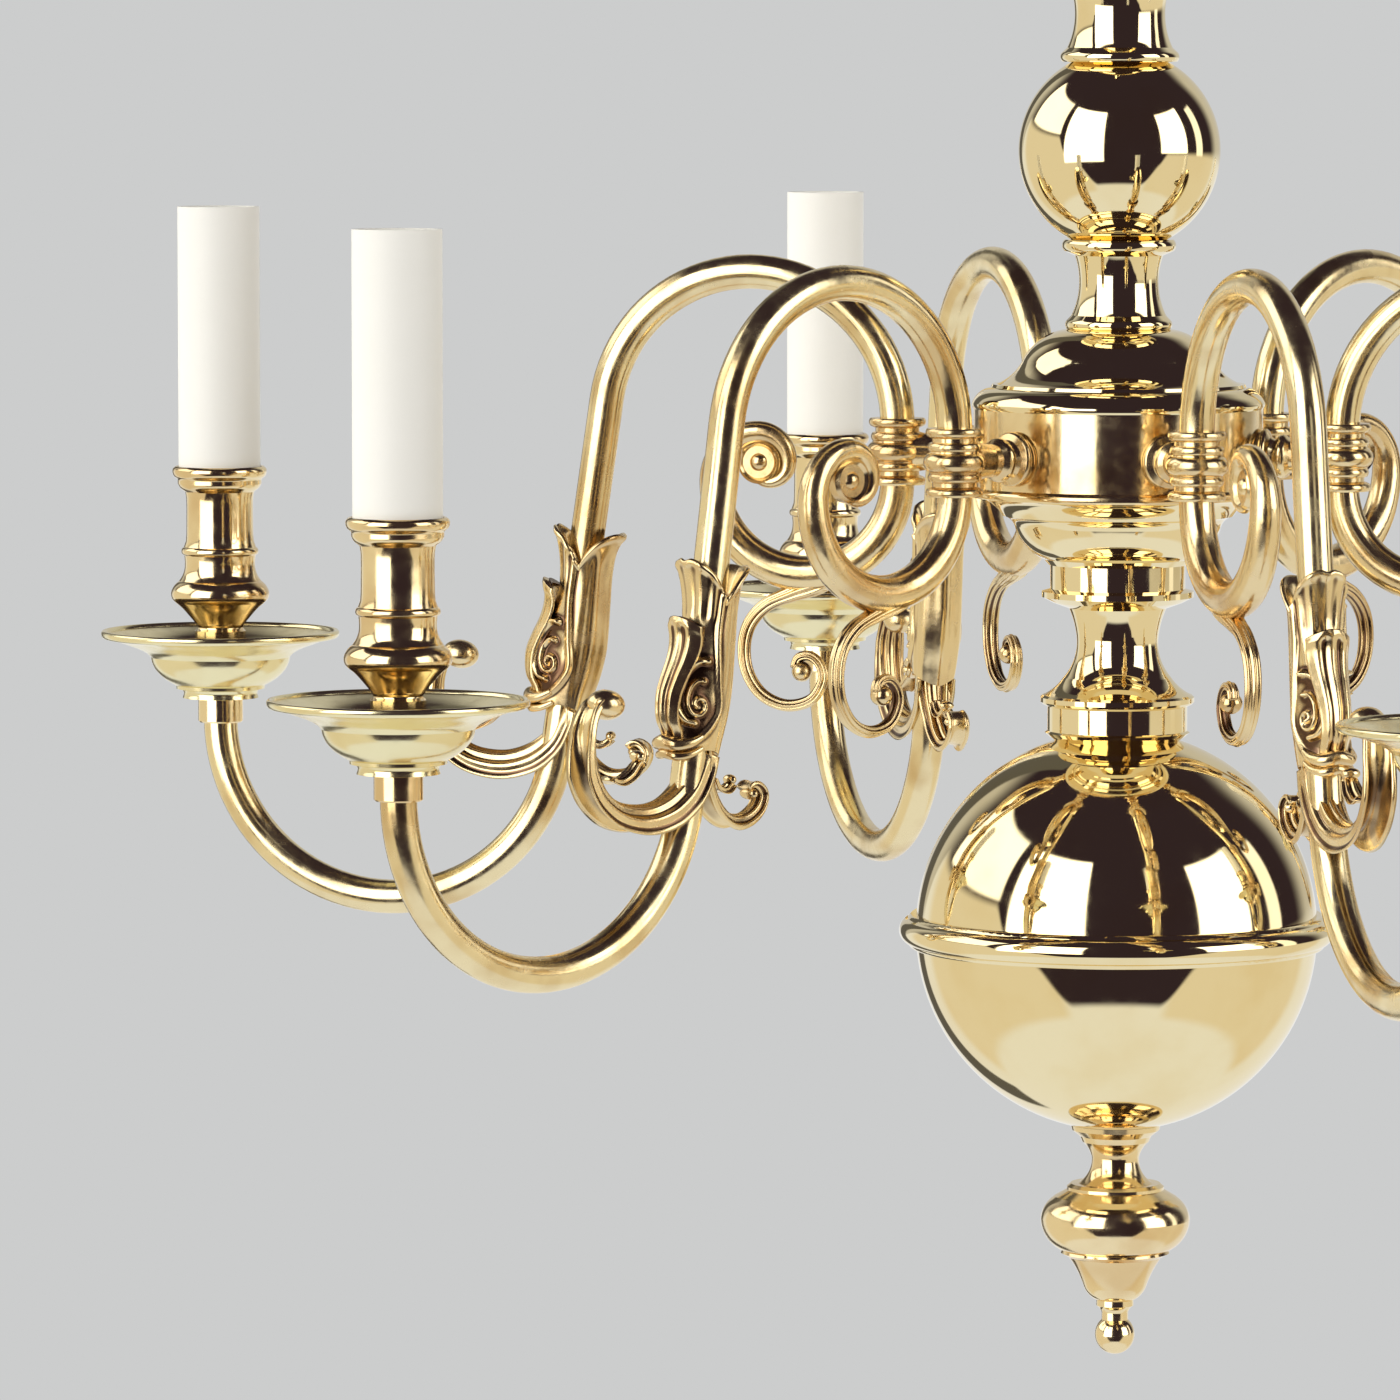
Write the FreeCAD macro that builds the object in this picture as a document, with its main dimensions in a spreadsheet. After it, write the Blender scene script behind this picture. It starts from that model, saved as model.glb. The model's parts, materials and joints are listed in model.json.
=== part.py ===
import FreeCAD, Part
import os
from math import acos, atan2, cos, degrees, pi, radians, sin, sqrt

import Sketcher
from FreeCAD import Placement, Rotation, Vector

# A brass chandelier that hangs from a ring.  A turned column of necks, balls and a hollow hub
# carries scrolled tube arms; each arm ends in a drip pan, a candle cup and a candle sleeve that
# lifts off its lampholder.  Millimetres.  +Z is up and the origin is the hook seat, the point
# inside the top of the suspension ring where a hook bears.  Arm 1 lies along +X.

doc = FreeCAD.newDocument("chandelier")
sheet = doc.addObject("Spreadsheet::Sheet", "Sizes")

ARMS = range(1, 7)
UP = Vector(0, 0, 1)
# the cell that the next driving dimension goes into
next_row = iter(range(1, 1000))


class Size:
    """A number together with the sheet expression that it comes from."""

    def __init__(self, value, text):
        self.value = float(value)
        self.text = text

    def __add__(self, other):
        other = as_size(other)
        return Size(self.value + other.value, f"({self.text} + {other.text})")

    def __sub__(self, other):
        other = as_size(other)
        return Size(self.value - other.value, f"({self.text} - {other.text})")

    def __mul__(self, other):
        other = as_size(other)
        return Size(self.value * other.value, f"({self.text} * {other.text})")

    def __neg__(self):
        return Size(-self.value, f"(0 - {self.text})")


def as_size(number):
    """A plain number becomes a Size whose expression is the number itself."""
    return number if isinstance(number, Size) else Size(number, f"({float(number)})")


def root(size):
    """The square root of a size."""
    return Size(sqrt(size.value), f"sqrt({size.text})")


def cell(alias, value):
    """Writes one driving dimension into the sheet and returns it as a Size."""
    row = next(next_row)
    sheet.set(f"A{row}", alias.replace("_", " "))
    sheet.set(f"B{row}", str(value))
    sheet.setAlias(f"B{row}", alias)
    return Size(value, f"Sizes.{alias}")


# ---------------------------------------------------------------- driving dimensions
# suspension
ring_radius = cell("ring_radius", 20.0)
ring_wire = cell("ring_wire", 3.0)
eye_radius = cell("eye_radius", 11.0)
eye_wire = cell("eye_wire", 3.2)
hang_gap = cell("hang_gap", 0.4)
cap_top = cell("cap_top", -56.5)
cap_height = cell("cap_height", 9.9)
cap_radius = cell("cap_radius", 17.0)
cap_cavity_radius = cell("cap_cavity_radius", 14.2)
bush_place = cell("bush_place", 9.5)
bush_radius = cell("bush_radius", 4.2)
bush_bore = cell("bush_bore", 3.0)
bush_height = cell("bush_height", 7.0)
bush_turn = cell("bush_turn", 45.0)

# column, from the top down
rod_radius = cell("rod_radius", 4.0)
wire_bore = cell("wire_bore", 9.2)
wide_bore = cell("wide_bore", 12.0)
neck_bead = cell("neck_bead", 3.6)
foot_bead = cell("foot_bead", 3.0)
bead_bulge = cell("bead_bulge", 0.8)
upper_neck_height = cell("upper_neck_height", 28.1)
upper_neck_top = cell("upper_neck_top", 16.5)
upper_neck_waist = cell("upper_neck_waist", 14.2)
upper_neck_foot = cell("upper_neck_foot", 18.9)
small_ball_radius = cell("small_ball_radius", 31.75)
small_ball_half = cell("small_ball_half", 27.9)
ball_wall = cell("ball_wall", 1.5)
middle_neck_height = cell("middle_neck_height", 28.2)
middle_neck_top = cell("middle_neck_top", 18.0)
middle_neck_waist = cell("middle_neck_waist", 12.5)
middle_neck_foot = cell("middle_neck_foot", 17.0)
neck_step = cell("neck_step", 1.4)
dome_height = cell("dome_height", 24.9)
dome_shoulder = cell("dome_shoulder", 30.2)
dome_shoulder_drop = cell("dome_shoulder_drop", 9.8)
dome_roll = cell("dome_roll", 39.8)
dome_roll_drop = cell("dome_roll_drop", 17.8)
hub_wall = cell("hub_wall", 2.2)
drum_radius = cell("drum_radius", 45.6)
drum_height = cell("drum_height", 27.8)
drum_lip = cell("drum_lip", 1.1)
drum_lip_height = cell("drum_lip_height", 2.3)
bowl_height = cell("bowl_height", 21.5)
bowl_step = cell("bowl_step", 36.4)
bowl_step_drop = cell("bowl_step_drop", 6.0)
bowl_belly = cell("bowl_belly", 32.6)
bowl_foot = cell("bowl_foot", 22.0)
lower_neck_height = cell("lower_neck_height", 41.2)
band_radius = cell("band_radius", 21.3)
band_height = cell("band_height", 7.6)
band_ring = cell("band_ring", 24.0)
lower_neck_waist = cell("lower_neck_waist", 13.0)
collar_ring = cell("collar_ring", 24.3)
collar_band = cell("collar_band", 22.1)
collar_height = cell("collar_height", 14.5)
big_ball_radius = cell("big_ball_radius", 63.5)
big_ball_top = cell("big_ball_top", 60.4)
big_ball_bottom = cell("big_ball_bottom", 61.9)
girdle_radius = cell("girdle_radius", 68.8)
girdle_bead = cell("girdle_bead", 3.6)
girdle_step = cell("girdle_step", 66.0)
girdle_half = cell("girdle_half", 5.2)
spool_height = cell("spool_height", 18.7)
spool_flange = cell("spool_flange", 14.3)
spool_waist = cell("spool_waist", 7.5)
bun_height = cell("bun_height", 21.2)
bun_radius = cell("bun_radius", 23.7)
bun_step = cell("bun_step", 15.4)
bell_height = cell("bell_height", 33.6)
bell_ring = cell("bell_ring", 16.9)
bell_top = cell("bell_top", 14.8)
tip_radius = cell("tip_radius", 6.3)
tip_neck = cell("tip_neck", 4.2)

# arms
# each arm is bolted on by hand, so they stand a little off an even spacing
arm_turns = {1: 0.0, 2: 60.0, 3: 121.8, 4: 180.0, 5: 236.7, 6: 301.4}
arm_turn = {arm: cell(f"arm_turn_{arm}", turn) for arm, turn in arm_turns.items()}
arm_level = cell("arm_level", -217.9)
collar_place = cell("collar_place", 71.5)
tube_radius = cell("tube_radius", 5.5)
tube_wall = cell("tube_wall", 1.2)
arch_radius = cell("arch_radius", 48.0)
arch_level = cell("arch_level", -209.3)
candle_place = cell("candle_place", 297.0)
bow_radius = cell("bow_radius", 57.0)
bow_level = cell("bow_level", -307.4)
scroll_radius = cell("scroll_radius", 30.0)
scroll_level = cell("scroll_level", -227.4)
scroll_middle = cell("scroll_middle", 4.7)
scroll_tip = cell("scroll_tip", 1.3)
scroll_eye = cell("scroll_eye", 7.0)
eye_bead = cell("eye_bead", 3.3)
collar_flange = cell("collar_flange", 9.5)
collar_body = cell("collar_body", 7.9)
collar_half = cell("collar_half", 10.6)
root_gap = cell("root_gap", 2.6)
scroll_root = cell("scroll_root", 5.2)
rosette_radius = cell("rosette_radius", 8.6)
spigot_radius = cell("spigot_radius", 4.0)
spigot_bore = cell("spigot_bore", 2.2)
nut_flats = cell("nut_flats", 13.0)
nut_height = cell("nut_height", 4.5)
wire_radius = cell("wire_radius", 1.7)
tendril_radius = cell("tendril_radius", 1.9)
leaf_radius = cell("leaf_radius", 8.0)
leaf_flare = cell("leaf_flare", 11.5)
leaf_length = cell("leaf_length", 56.0)
leaf_level = cell("leaf_level", -299.4)
spray_radius = cell("spray_radius", 3.2)

# candle group, levels above the foot of the pan
pan_foot_level = cell("pan_foot_level", -300.9)
ferrule_radius = cell("ferrule_radius", 7.3)
ferrule_bore = cell("ferrule_bore", 5.55)
ferrule_height = cell("ferrule_height", 8.0)
pan_radius = cell("pan_radius", 38.7)
pan_height = cell("pan_height", 21.6)
pan_waist = cell("pan_waist", 22.0)
pan_waist_height = cell("pan_waist_height", 14.8)
pan_foot = cell("pan_foot", 12.2)
pan_wall = cell("pan_wall", 1.3)
cup_height = cell("cup_height", 73.9)
cup_lip = cell("cup_lip", 15.5)
cup_ring = cell("cup_ring", 13.4)
cup_barrel = cell("cup_barrel", 11.0)
cup_bulb = cell("cup_bulb", 15.8)
cup_stem = cell("cup_stem", 8.6)
cup_socket = cell("cup_socket", 13.6)
cup_socket_depth = cell("cup_socket_depth", 5.7)
sleeve_radius = cell("sleeve_radius", 13.25)
sleeve_wall = cell("sleeve_wall", 1.0)
sleeve_length = cell("sleeve_length", 89.4)
seat_gap = cell("seat_gap", 0.3)
holder_radius = cell("holder_radius", 11.3)
holder_length = cell("holder_length", 76.0)
holder_drop = cell("holder_drop", 3.0)
socket_radius = cell("socket_radius", 7.0)
socket_depth = cell("socket_depth", 24.0)
stem_radius = cell("stem_radius", 5.0)
block_length = cell("block_length", 28.0)
block_width = cell("block_width", 12.0)
block_height = cell("block_height", 11.0)

doc.recompute()


# ---------------------------------------------------------------- drawing helpers
def origin_plane(body, role):
    """The body's own origin plane with this role, such as XZ_Plane."""
    for feature in body.Origin.OriginFeatures:
        if feature.Role == role:
            return feature
    raise ValueError(f"{body.Label} has no {role}")


def new_sketch(body, name, role, offset=0.0, turn=None):
    """An empty sketch on one of the body's origin planes, moved along the plane's normal and
    turned about the plane's own upright."""
    sketch = body.newObject("Sketcher::SketchObject", f"{body.Name}_{name}")
    sketch.AttachmentSupport = [(origin_plane(body, role), "")]
    sketch.MapMode = "FlatFace"
    offset = as_size(offset)
    upright = Rotation(Vector(0, 1, 0), turn.value if turn else 0.0)
    sketch.AttachmentOffset = Placement(Vector(0, 0, offset.value), upright)
    sketch.setExpression("AttachmentOffset.Base.z", offset.text)
    if turn and turn.value:
        sketch.setExpression("AttachmentOffset.Rotation.Angle", turn.text)
    return sketch


def tie(sketch, constraints):
    """Adds constraints; those given with a Size are driven by its sheet expression."""
    added = [Sketcher.Constraint(*words, size.value) if size else Sketcher.Constraint(*words)
             for words, size in constraints]
    for index, (_, size) in zip(sketch.addConstraint(added), constraints):
        if size:
            sketch.setExpression(f"Constraints[{index}]", size.text)


def arc_between(start, end, radius):
    """The short arc from start to end: a positive radius turns clockwise, seen from +normal."""
    chord = end - start
    right = Vector(chord.y, -chord.x, 0).normalize()
    side = 1 if radius > 0 else -1
    reach = sqrt(max(radius * radius - chord.Length ** 2 / 4, 0.0))
    centre = (start + end) * 0.5 + right * (side * reach)
    ends = [atan2((point - centre).y, (point - centre).x) for point in (start, end)]
    if side > 0:
        ends.reverse()
    if ends[1] < ends[0]:
        ends[1] += 2 * pi
    return Part.ArcOfCircle(Part.Circle(centre, UP, abs(radius)), ends[0], ends[1])


def draw(sketch, outline, closed=True):
    """Draws lines and arcs through the outline's corners and ties every corner to the sheet.
    A corner is (across, up), or (across, up, radius) where an arc arrives at it."""
    corners = [(as_size(corner[0]), as_size(corner[1])) for corner in outline]
    bends = [as_size(corner[2]) if len(corner) > 2 else None for corner in outline]
    places = [Vector(across.value, up.value, 0) for across, up in corners]
    count = len(places)
    runs = []
    constraints = []
    for number in range(count if closed else count - 1):
        following = (number + 1) % count
        bend = bends[following]
        if bend is None:
            curve = sketch.addGeometry(Part.LineSegment(places[number], places[following]), False)
            runs.append((curve, 1, 2))
        else:
            arc = arc_between(places[number], places[following], bend.value)
            curve = sketch.addGeometry(arc, False)
            runs.append((curve, 2, 1) if bend.value > 0 else (curve, 1, 2))
            size = bend if bend.value > 0 else -bend
            constraints.append((("Radius", curve), size))
    for number, (curve, first, last) in enumerate(runs):
        across, up = corners[number]
        constraints.append((("DistanceX", -1, 1, curve, first), across))
        constraints.append((("DistanceY", -1, 1, curve, first), up))
        if number + 1 < len(runs) or closed:
            after, entry, _ = runs[(number + 1) % len(runs)]
            constraints.append((("Coincident", curve, last, after, entry), None))
    if not closed:
        curve, _, last = runs[-1]
        constraints.append((("DistanceX", -1, 1, curve, last), corners[-1][0]))
        constraints.append((("DistanceY", -1, 1, curve, last), corners[-1][1]))
    tie(sketch, constraints)
    return sketch


def draw_circles(sketch, centre, radii):
    """Draws circles about one centre and ties them to the sheet."""
    across, up = as_size(centre[0]), as_size(centre[1])
    constraints = []
    for radius in radii:
        circle = Part.Circle(Vector(across.value, up.value, 0), UP, radius.value)
        curve = sketch.addGeometry(circle, False)
        constraints.append((("Radius", curve), radius))
        constraints.append((("DistanceX", -1, 1, curve, 3), across))
        constraints.append((("DistanceY", -1, 1, curve, 3), up))
    tie(sketch, constraints)
    return sketch


def route(start, heading, steps):
    """Corners of a path of straight and round steps, each tangent to the one before it.
    A step is (length,) for a straight run or (radius, turn) in degrees, clockwise positive."""
    x, z = start
    corners = [(x, z)]
    for step in steps:
        if len(step) == 1:
            x += step[0] * cos(radians(heading))
            z += step[0] * sin(radians(heading))
            corners.append((x, z))
            continue
        radius, turn = step
        side = 1 if turn > 0 else -1
        parts = 1 + int(abs(turn) > 120)
        for _ in range(parts):
            swing = turn / parts
            middle = heading - swing / 2
            chord = 2 * radius * sin(radians(abs(swing) / 2))
            x += chord * cos(radians(middle))
            z += chord * sin(radians(middle))
            heading -= swing
            corners.append((x, z, side * radius))
    return corners


# ---------------------------------------------------------------- part builders
def new_body(label):
    return doc.addObject("PartDesign::Body", label)


def revolve(body, name, outline, axis="V_Axis"):
    """Turns an outline on the XZ plane about the body's vertical or horizontal axis."""
    sketch = draw(new_sketch(body, name, "XZ_Plane"), outline)
    turn = body.newObject("PartDesign::Revolution", f"{body.Name}_{name}_turn")
    turn.Profile = sketch
    turn.ReferenceAxis = (sketch, [axis])
    turn.Angle = 360
    body.Tip = turn
    return turn


def turned(label, level, outline):
    """A turned piece on the column's axis; heights in its outline are from its own level."""
    body = new_body(label)
    revolve(body, "outline", outline)
    body.setExpression("Placement.Base.z", level.text)
    return body


def pipe(body, name, path, radii, role="XY_Plane", offset=0.0, centre=(0, 0)):
    """Sweeps circles along a path on the XZ plane and joins the result to the body."""
    spine = draw(new_sketch(body, f"{name}_path", "XZ_Plane"), path, closed=False)
    section = draw_circles(new_sketch(body, f"{name}_section", role, offset), centre, radii)
    sweep = body.newObject("PartDesign::AdditivePipe", f"{body.Name}_{name}_sweep")
    sweep.Profile = section
    sweep.Spine = (spine, [f"Edge{number}" for number in range(1, len(path))])
    body.Tip = sweep
    return sweep


def ball(body, name, radius, place):
    """Joins a ball to the body at a point of the XZ plane."""
    sphere = body.newObject("PartDesign::AdditiveSphere", f"{body.Name}_{name}")
    sphere.setExpression("Radius", radius.text)
    across, up = as_size(place[0]), as_size(place[1])
    sphere.Placement = Placement(Vector(across.value, 0, up.value), Rotation())
    sphere.setExpression("Placement.Base.x", across.text)
    sphere.setExpression("Placement.Base.z", up.text)
    body.Tip = sphere
    return sphere


def bore(body, name, role, centre, radius, length, reverse=False, turn=None):
    """Cuts a round hole from an origin plane, which may be turned about its upright."""
    hole = draw_circles(new_sketch(body, name, role, turn=turn), centre, [radius])
    pocket = body.newObject("PartDesign::Pocket", f"{body.Name}_{name}_cut")
    pocket.Profile = hole
    pocket.setExpression("Length", length.text)
    pocket.Reversed = reverse
    body.Tip = pocket


def revolve_upright(body, name, role, outline, across, level=0.0):
    """Turns an outline about an upright line of its own sketch, at a distance across it."""
    sketch = draw(new_sketch(body, name, role, level), outline)
    foot = Vector(across.value, 0, 0)
    axis = sketch.addGeometry(Part.LineSegment(foot, foot + Vector(0, 10, 0)), True)
    tie(sketch, [(("DistanceX", -1, 1, axis, 1), across), (("Vertical", axis), None)])
    turn = body.newObject("PartDesign::Revolution", f"{body.Name}_{name}_turn")
    turn.Profile = sketch
    turn.ReferenceAxis = (sketch, ["Axis0"])
    turn.Angle = 360
    body.Tip = turn


def turn_to_arm(piece, arm):
    """Swings a piece that was made along +X round to its arm."""
    piece.Placement = Placement(Vector(), Rotation(UP, arm_turn[arm].value))
    if arm_turn[arm].value:
        piece.setExpression("Placement.Rotation.Angle", arm_turn[arm].text)


def stand_at_candle(piece, arm, level):
    """Stands a turned piece on the axis of an arm's candle."""
    angle = arm_turn[arm].text
    piece.setExpression("Placement.Base.x", f"{candle_place.text} * cos({angle})")
    piece.setExpression("Placement.Base.y", f"{candle_place.text} * sin({angle})")
    piece.setExpression("Placement.Base.z", level.text)


def group(label, pieces):
    """One node that holds several separate solids."""
    compound = doc.addObject("Part::Compound", label)
    compound.Links = pieces
    return compound


# ---------------------------------------------------------------- suspension
ring_foot = -(ring_radius * 2) + ring_wire
eye_level = ring_foot + ring_wire + hang_gap + eye_wire - eye_radius
cap_foot = cap_top - cap_height


def suspension_ring():
    """A closed ring of round wire standing in the YZ plane."""
    ring = doc.addObject("Part::Torus", "suspension_ring")
    ring.setExpression("Radius1", ring_radius.text)
    ring.setExpression("Radius2", ring_wire.text)
    ring.Placement = Placement(Vector(0, 0, 0), Rotation(Vector(0, 1, 0), 90))
    ring.setExpression("Placement.Base.z", (ring_wire - ring_radius).text)
    return ring


def suspension_eye():
    """A loop in the XZ plane, hung on the ring, with a threaded stem over the rod's end."""
    loop = doc.addObject("Part::Torus", "eye_loop")
    loop.setExpression("Radius1", eye_radius.text)
    loop.setExpression("Radius2", eye_wire.text)
    loop.Placement = Placement(Vector(0, 0, 0), Rotation(Vector(1, 0, 0), 90))
    loop.setExpression("Placement.Base.z", eye_level.text)
    stem = doc.addObject("Part::Cylinder", "eye_stem")
    stem.setExpression("Radius", rod_radius.text)
    stem.setExpression("Height", (eye_level - eye_radius - cap_top).text)
    stem.setExpression("Placement.Base.z", cap_top.text)
    eye = doc.addObject("Part::Fuse", "suspension_eye")
    eye.Base = loop
    eye.Tool = stem
    return eye


def top_cap():
    """A hollow dome over the upper neck, with a bored shoulder for the cable bush."""
    crown_radius = 7.5
    cap = new_body("top_cap")
    revolve(cap, "outline", [
        (rod_radius, 0), (crown_radius, 0), (cap_radius, -cap_height + 2.5, 11.0),
        (cap_radius, -cap_height), (cap_cavity_radius, -cap_height),
        (cap_cavity_radius, -cap_height + 3.0), (crown_radius, -hub_wall - 1.0, -10.0),
        (rod_radius, -hub_wall - 1.0)])
    bore(cap, "bush_hole", "XY_Plane", (bush_place, 0), bush_radius, cap_height)
    cap.Placement = Placement(Vector(), Rotation(UP, bush_turn.value))
    cap.setExpression("Placement.Rotation.Angle", bush_turn.text)
    cap.setExpression("Placement.Base.z", cap_top.text)
    return cap


def cable_bush():
    """The bush that the supply cable goes in by, upright in the cap's shoulder."""
    bush = new_body("cable_bush")
    revolve(bush, "outline", [
        (bush_bore, 0), (bush_bore, -bush_height), (bush_radius, -bush_height),
        (bush_radius, 0)])
    angle = f"({bush_turn.text})"
    bush.setExpression("Placement.Base.x", f"{bush_place.text} * cos({angle})")
    bush.setExpression("Placement.Base.y", f"{bush_place.text} * sin({angle})")
    bush.setExpression("Placement.Base.z", (cap_top + 1.0).text)
    return bush


# ---------------------------------------------------------------- column
def neck(label, level, height, top, waist, foot, passage):
    """A waisted spool between two round-edged rings, bored for the rod and the wires."""
    inner = waist + neck_step
    hollow = 24.0
    bead = 0.7
    top_edge = top - bead_bulge
    foot_edge = foot - bead_bulge
    foot_top = -(height - foot_bead)
    return turned(label, level, [
        (passage, 0), (top_edge, 0), (top_edge, -neck_bead, neck_bead * bead),
        (inner, -neck_bead - neck_step), (waist, -(height * 0.48), -hollow),
        (inner + 1.0, foot_top + neck_step, -hollow), (foot_edge, foot_top),
        (foot_edge, -height, foot_bead * bead), (passage, -height)])


def small_ball():
    """A hollow ball, cut flat where the necks stand on it."""
    inner = small_ball_radius - ball_wall
    half = small_ball_half
    rim = root(small_ball_radius * small_ball_radius - half * half)
    inner_rim = root(inner * inner - half * half)
    return turned("small_ball", upper_neck_foot_level - half, [
        (inner_rim, half, -inner), (rim, half), (rim, -half, small_ball_radius),
        (inner_rim, -half)])


def hub_dome():
    """The hub's lid: a convex crown, a hollow flare and, past a small step, a round shoulder
    that stands a little proud of the drum."""
    edge = drum_radius + 0.5
    inner = drum_radius - hub_wall
    return turned("hub_dome", dome_level, [
        (wire_bore, 0), (middle_neck_foot - 0.5, 0), (dome_shoulder, -dome_shoulder_drop, 17.5),
        (dome_roll - 1.2, -dome_roll_drop + 0.6, -15.0), (dome_roll, -dome_roll_drop + 0.6),
        (dome_roll + 0.4, -dome_roll_drop - 0.4), (edge, -dome_height + 1.8, 8.0),
        (edge - 0.4, -dome_height, 2.5), (inner, -dome_height),
        (dome_roll - 2.0, -dome_roll_drop - hub_wall, -8.0),
        (dome_shoulder - 2.0, -dome_shoulder_drop - hub_wall, 15.0),
        (middle_neck_foot - 1.5, -hub_wall, -15.5), (wire_bore, -hub_wall)])


def hub_drum():
    """The hub's wall, with a rounded lip at its foot and a hole for each arm's spigot."""
    outer = drum_radius + drum_lip
    lip_top = drum_height - drum_lip_height
    drum = turned("hub_drum", drum_level, [
        (drum_inside, 0), (drum_radius, 0), (drum_radius, -lip_top + 0.8), (outer - 0.3, -lip_top),
        (outer - 0.3, -drum_height, 1.9), (drum_inside, -drum_height)])
    for arm in ARMS:
        bore(drum, f"spigot_hole_{arm}", "YZ_Plane", (0, arm_level - drum_level), spigot_radius,
             outer + 5, reverse=True, turn=arm_turn[arm])
    return drum


def hub_bowl():
    """The hub's base: a step, a round belly and a narrow foot, hollow inside."""
    floor = -bowl_height + hub_wall
    return turned("hub_bowl", bowl_level, [
        (bowl_step - hub_wall, 0), (drum_radius - 1.5, 0),
        (bowl_step, -bowl_step_drop, -14.0), (bowl_belly, -(bowl_step_drop + 3.2), -5.0),
        (bowl_foot + 1.5, -bowl_height + 1.8, 15.5), (bowl_foot, -bowl_height),
        (rod_radius, -bowl_height), (rod_radius, floor), (bowl_foot - 1.0, floor),
        (bowl_belly - hub_wall, -(bowl_step_drop + 3.5), -14.0)])


def lower_neck():
    """The waisted neck under the hub, below its plain band and its sharp-edged ring."""
    ring_top = -(band_height)
    shoulder = lower_neck_waist + 5.0
    return turned("lower_neck", lower_neck_level, [
        (rod_radius, 0), (band_radius, 0), (band_radius, ring_top), (band_ring, ring_top - 0.8),
        (band_ring, ring_top - 2.6), (band_ring - 3.5, ring_top - 4.4),
        (shoulder - 2.6, ring_top - 6.2), (lower_neck_waist, -(lower_neck_height * 0.54), -30.0),
        (shoulder - 1.0, -(lower_neck_height - 5.5), -17.0),
        (band_ring - 0.6, -lower_neck_height, -16.0), (rod_radius, -lower_neck_height)])


def ball_collar():
    """The ringed band that stands on the big ball."""
    return turned("ball_collar", ball_collar_level, [
        (rod_radius, 0), (collar_ring - 0.7, 0), (collar_ring, -0.7), (collar_ring, -2.2),
        (collar_ring - 0.7, -2.9), (collar_band, -3.6), (collar_band, -collar_height + 3.2),
        (collar_band + 0.8, -collar_height + 2.6), (collar_band - 0.6, -collar_height + 1.4),
        (collar_band - 2.5, -collar_height), (rod_radius, -collar_height)])


def ball_half(label, seat, side):
    """Half of the big hollow ball, from the girdle's middle to the piece that it meets."""
    inner = big_ball_radius - ball_wall
    rim = root(big_ball_radius * big_ball_radius - seat * seat)
    inner_rim = root(inner * inner - seat * seat)
    if side > 0:
        outline = [(rim, seat), (big_ball_radius, 0, big_ball_radius), (inner, 0),
                   (inner_rim, seat, -inner)]
    else:
        outline = [(big_ball_radius, 0), (rim, -seat, big_ball_radius), (inner_rim, -seat),
                   (inner, 0, -inner)]
    return turned(label, big_ball_level, outline)


def ball_girdle():
    """The round bead with a step each side that covers the seam of the big ball."""
    step_top = girdle_half
    bead = girdle_bead
    inner_edge = root(big_ball_radius * big_ball_radius - step_top * step_top)
    bead_foot = girdle_radius - 2.0
    return turned("ball_girdle", big_ball_level, [
        (inner_edge, step_top, -big_ball_radius), (girdle_step - 1.0, step_top),
        (girdle_step, bead + 0.4, 2.0), (bead_foot, bead), (bead_foot, -bead, 4.2),
        (girdle_step, -(bead + 0.4)), (girdle_step - 1.0, -step_top, 2.0),
        (inner_edge, -step_top)])


def bottom_spool():
    """The waisted spool under the big ball."""
    return turned("bottom_spool", spool_level, [
        (rod_radius, 0), (spool_flange, 0), (spool_flange - 0.4, -1.6), (11.4, -3.6),
        (10.6, -5.4), (spool_waist, -(spool_height * 0.56), -9.0),
        (11.8, -spool_height, -9.0), (rod_radius, -spool_height)])


def bottom_bun():
    """A flattened turned bulb below two shallow steps."""
    widest = 11.4
    return turned("bottom_bun", bun_level, [
        (rod_radius, 0), (bun_step - 1.2, 0), (bun_step, -1.0), (bun_step, -2.0),
        (19.2, -4.2), (20.2, -5.0), (bun_radius, -widest, 9.0),
        (17.4, -bun_height, 11.0), (rod_radius, -bun_height)])


def bell_finial():
    """The bell-shaped end piece, with a ball at its tip; it screws on the rod's end."""
    blind = -8.0
    neck_top = -16.2
    tip_level = -bell_height + tip_radius
    tip_start = tip_level + 4.75
    return turned("bell_finial", bell_level, [
        (0, blind), (rod_radius, blind), (rod_radius, 0), (bell_ring, 0), (bell_ring + 0.4, -1.0),
        (bell_top, -2.4), (9.9, -12.0, -34.0), (5.9, neck_top, 7.5), (5.9, neck_top - 1.8),
        (tip_neck, neck_top - 4.0, -4.0), (tip_neck, tip_start),
        (tip_radius, tip_level, tip_radius), (0, -bell_height, tip_radius)])


def centre_rod():
    """The rod that draws the whole column together."""
    rod = doc.addObject("Part::Cylinder", "centre_rod")
    foot = bell_level - 8.0
    rod.setExpression("Radius", rod_radius.text)
    rod.setExpression("Height", (cap_top - foot).text)
    rod.setExpression("Placement.Base.z", foot.text)
    return rod


def hex_nut(label, flats, height, bore, placement):
    """A plain hexagon nut, its axis along its own Z."""
    blank = doc.addObject("Part::Prism", f"{label}_blank")
    blank.Polygon = 6
    blank.setExpression("Circumradius", f"{flats.text} / sqrt(3)")
    blank.setExpression("Height", height.text)
    hole = doc.addObject("Part::Cylinder", f"{label}_hole")
    hole.setExpression("Radius", bore.text)
    hole.setExpression("Height", height.text)
    nut = doc.addObject("Part::Cut", label)
    nut.Base = blank
    nut.Tool = hole
    nut.Placement = placement
    return nut


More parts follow.
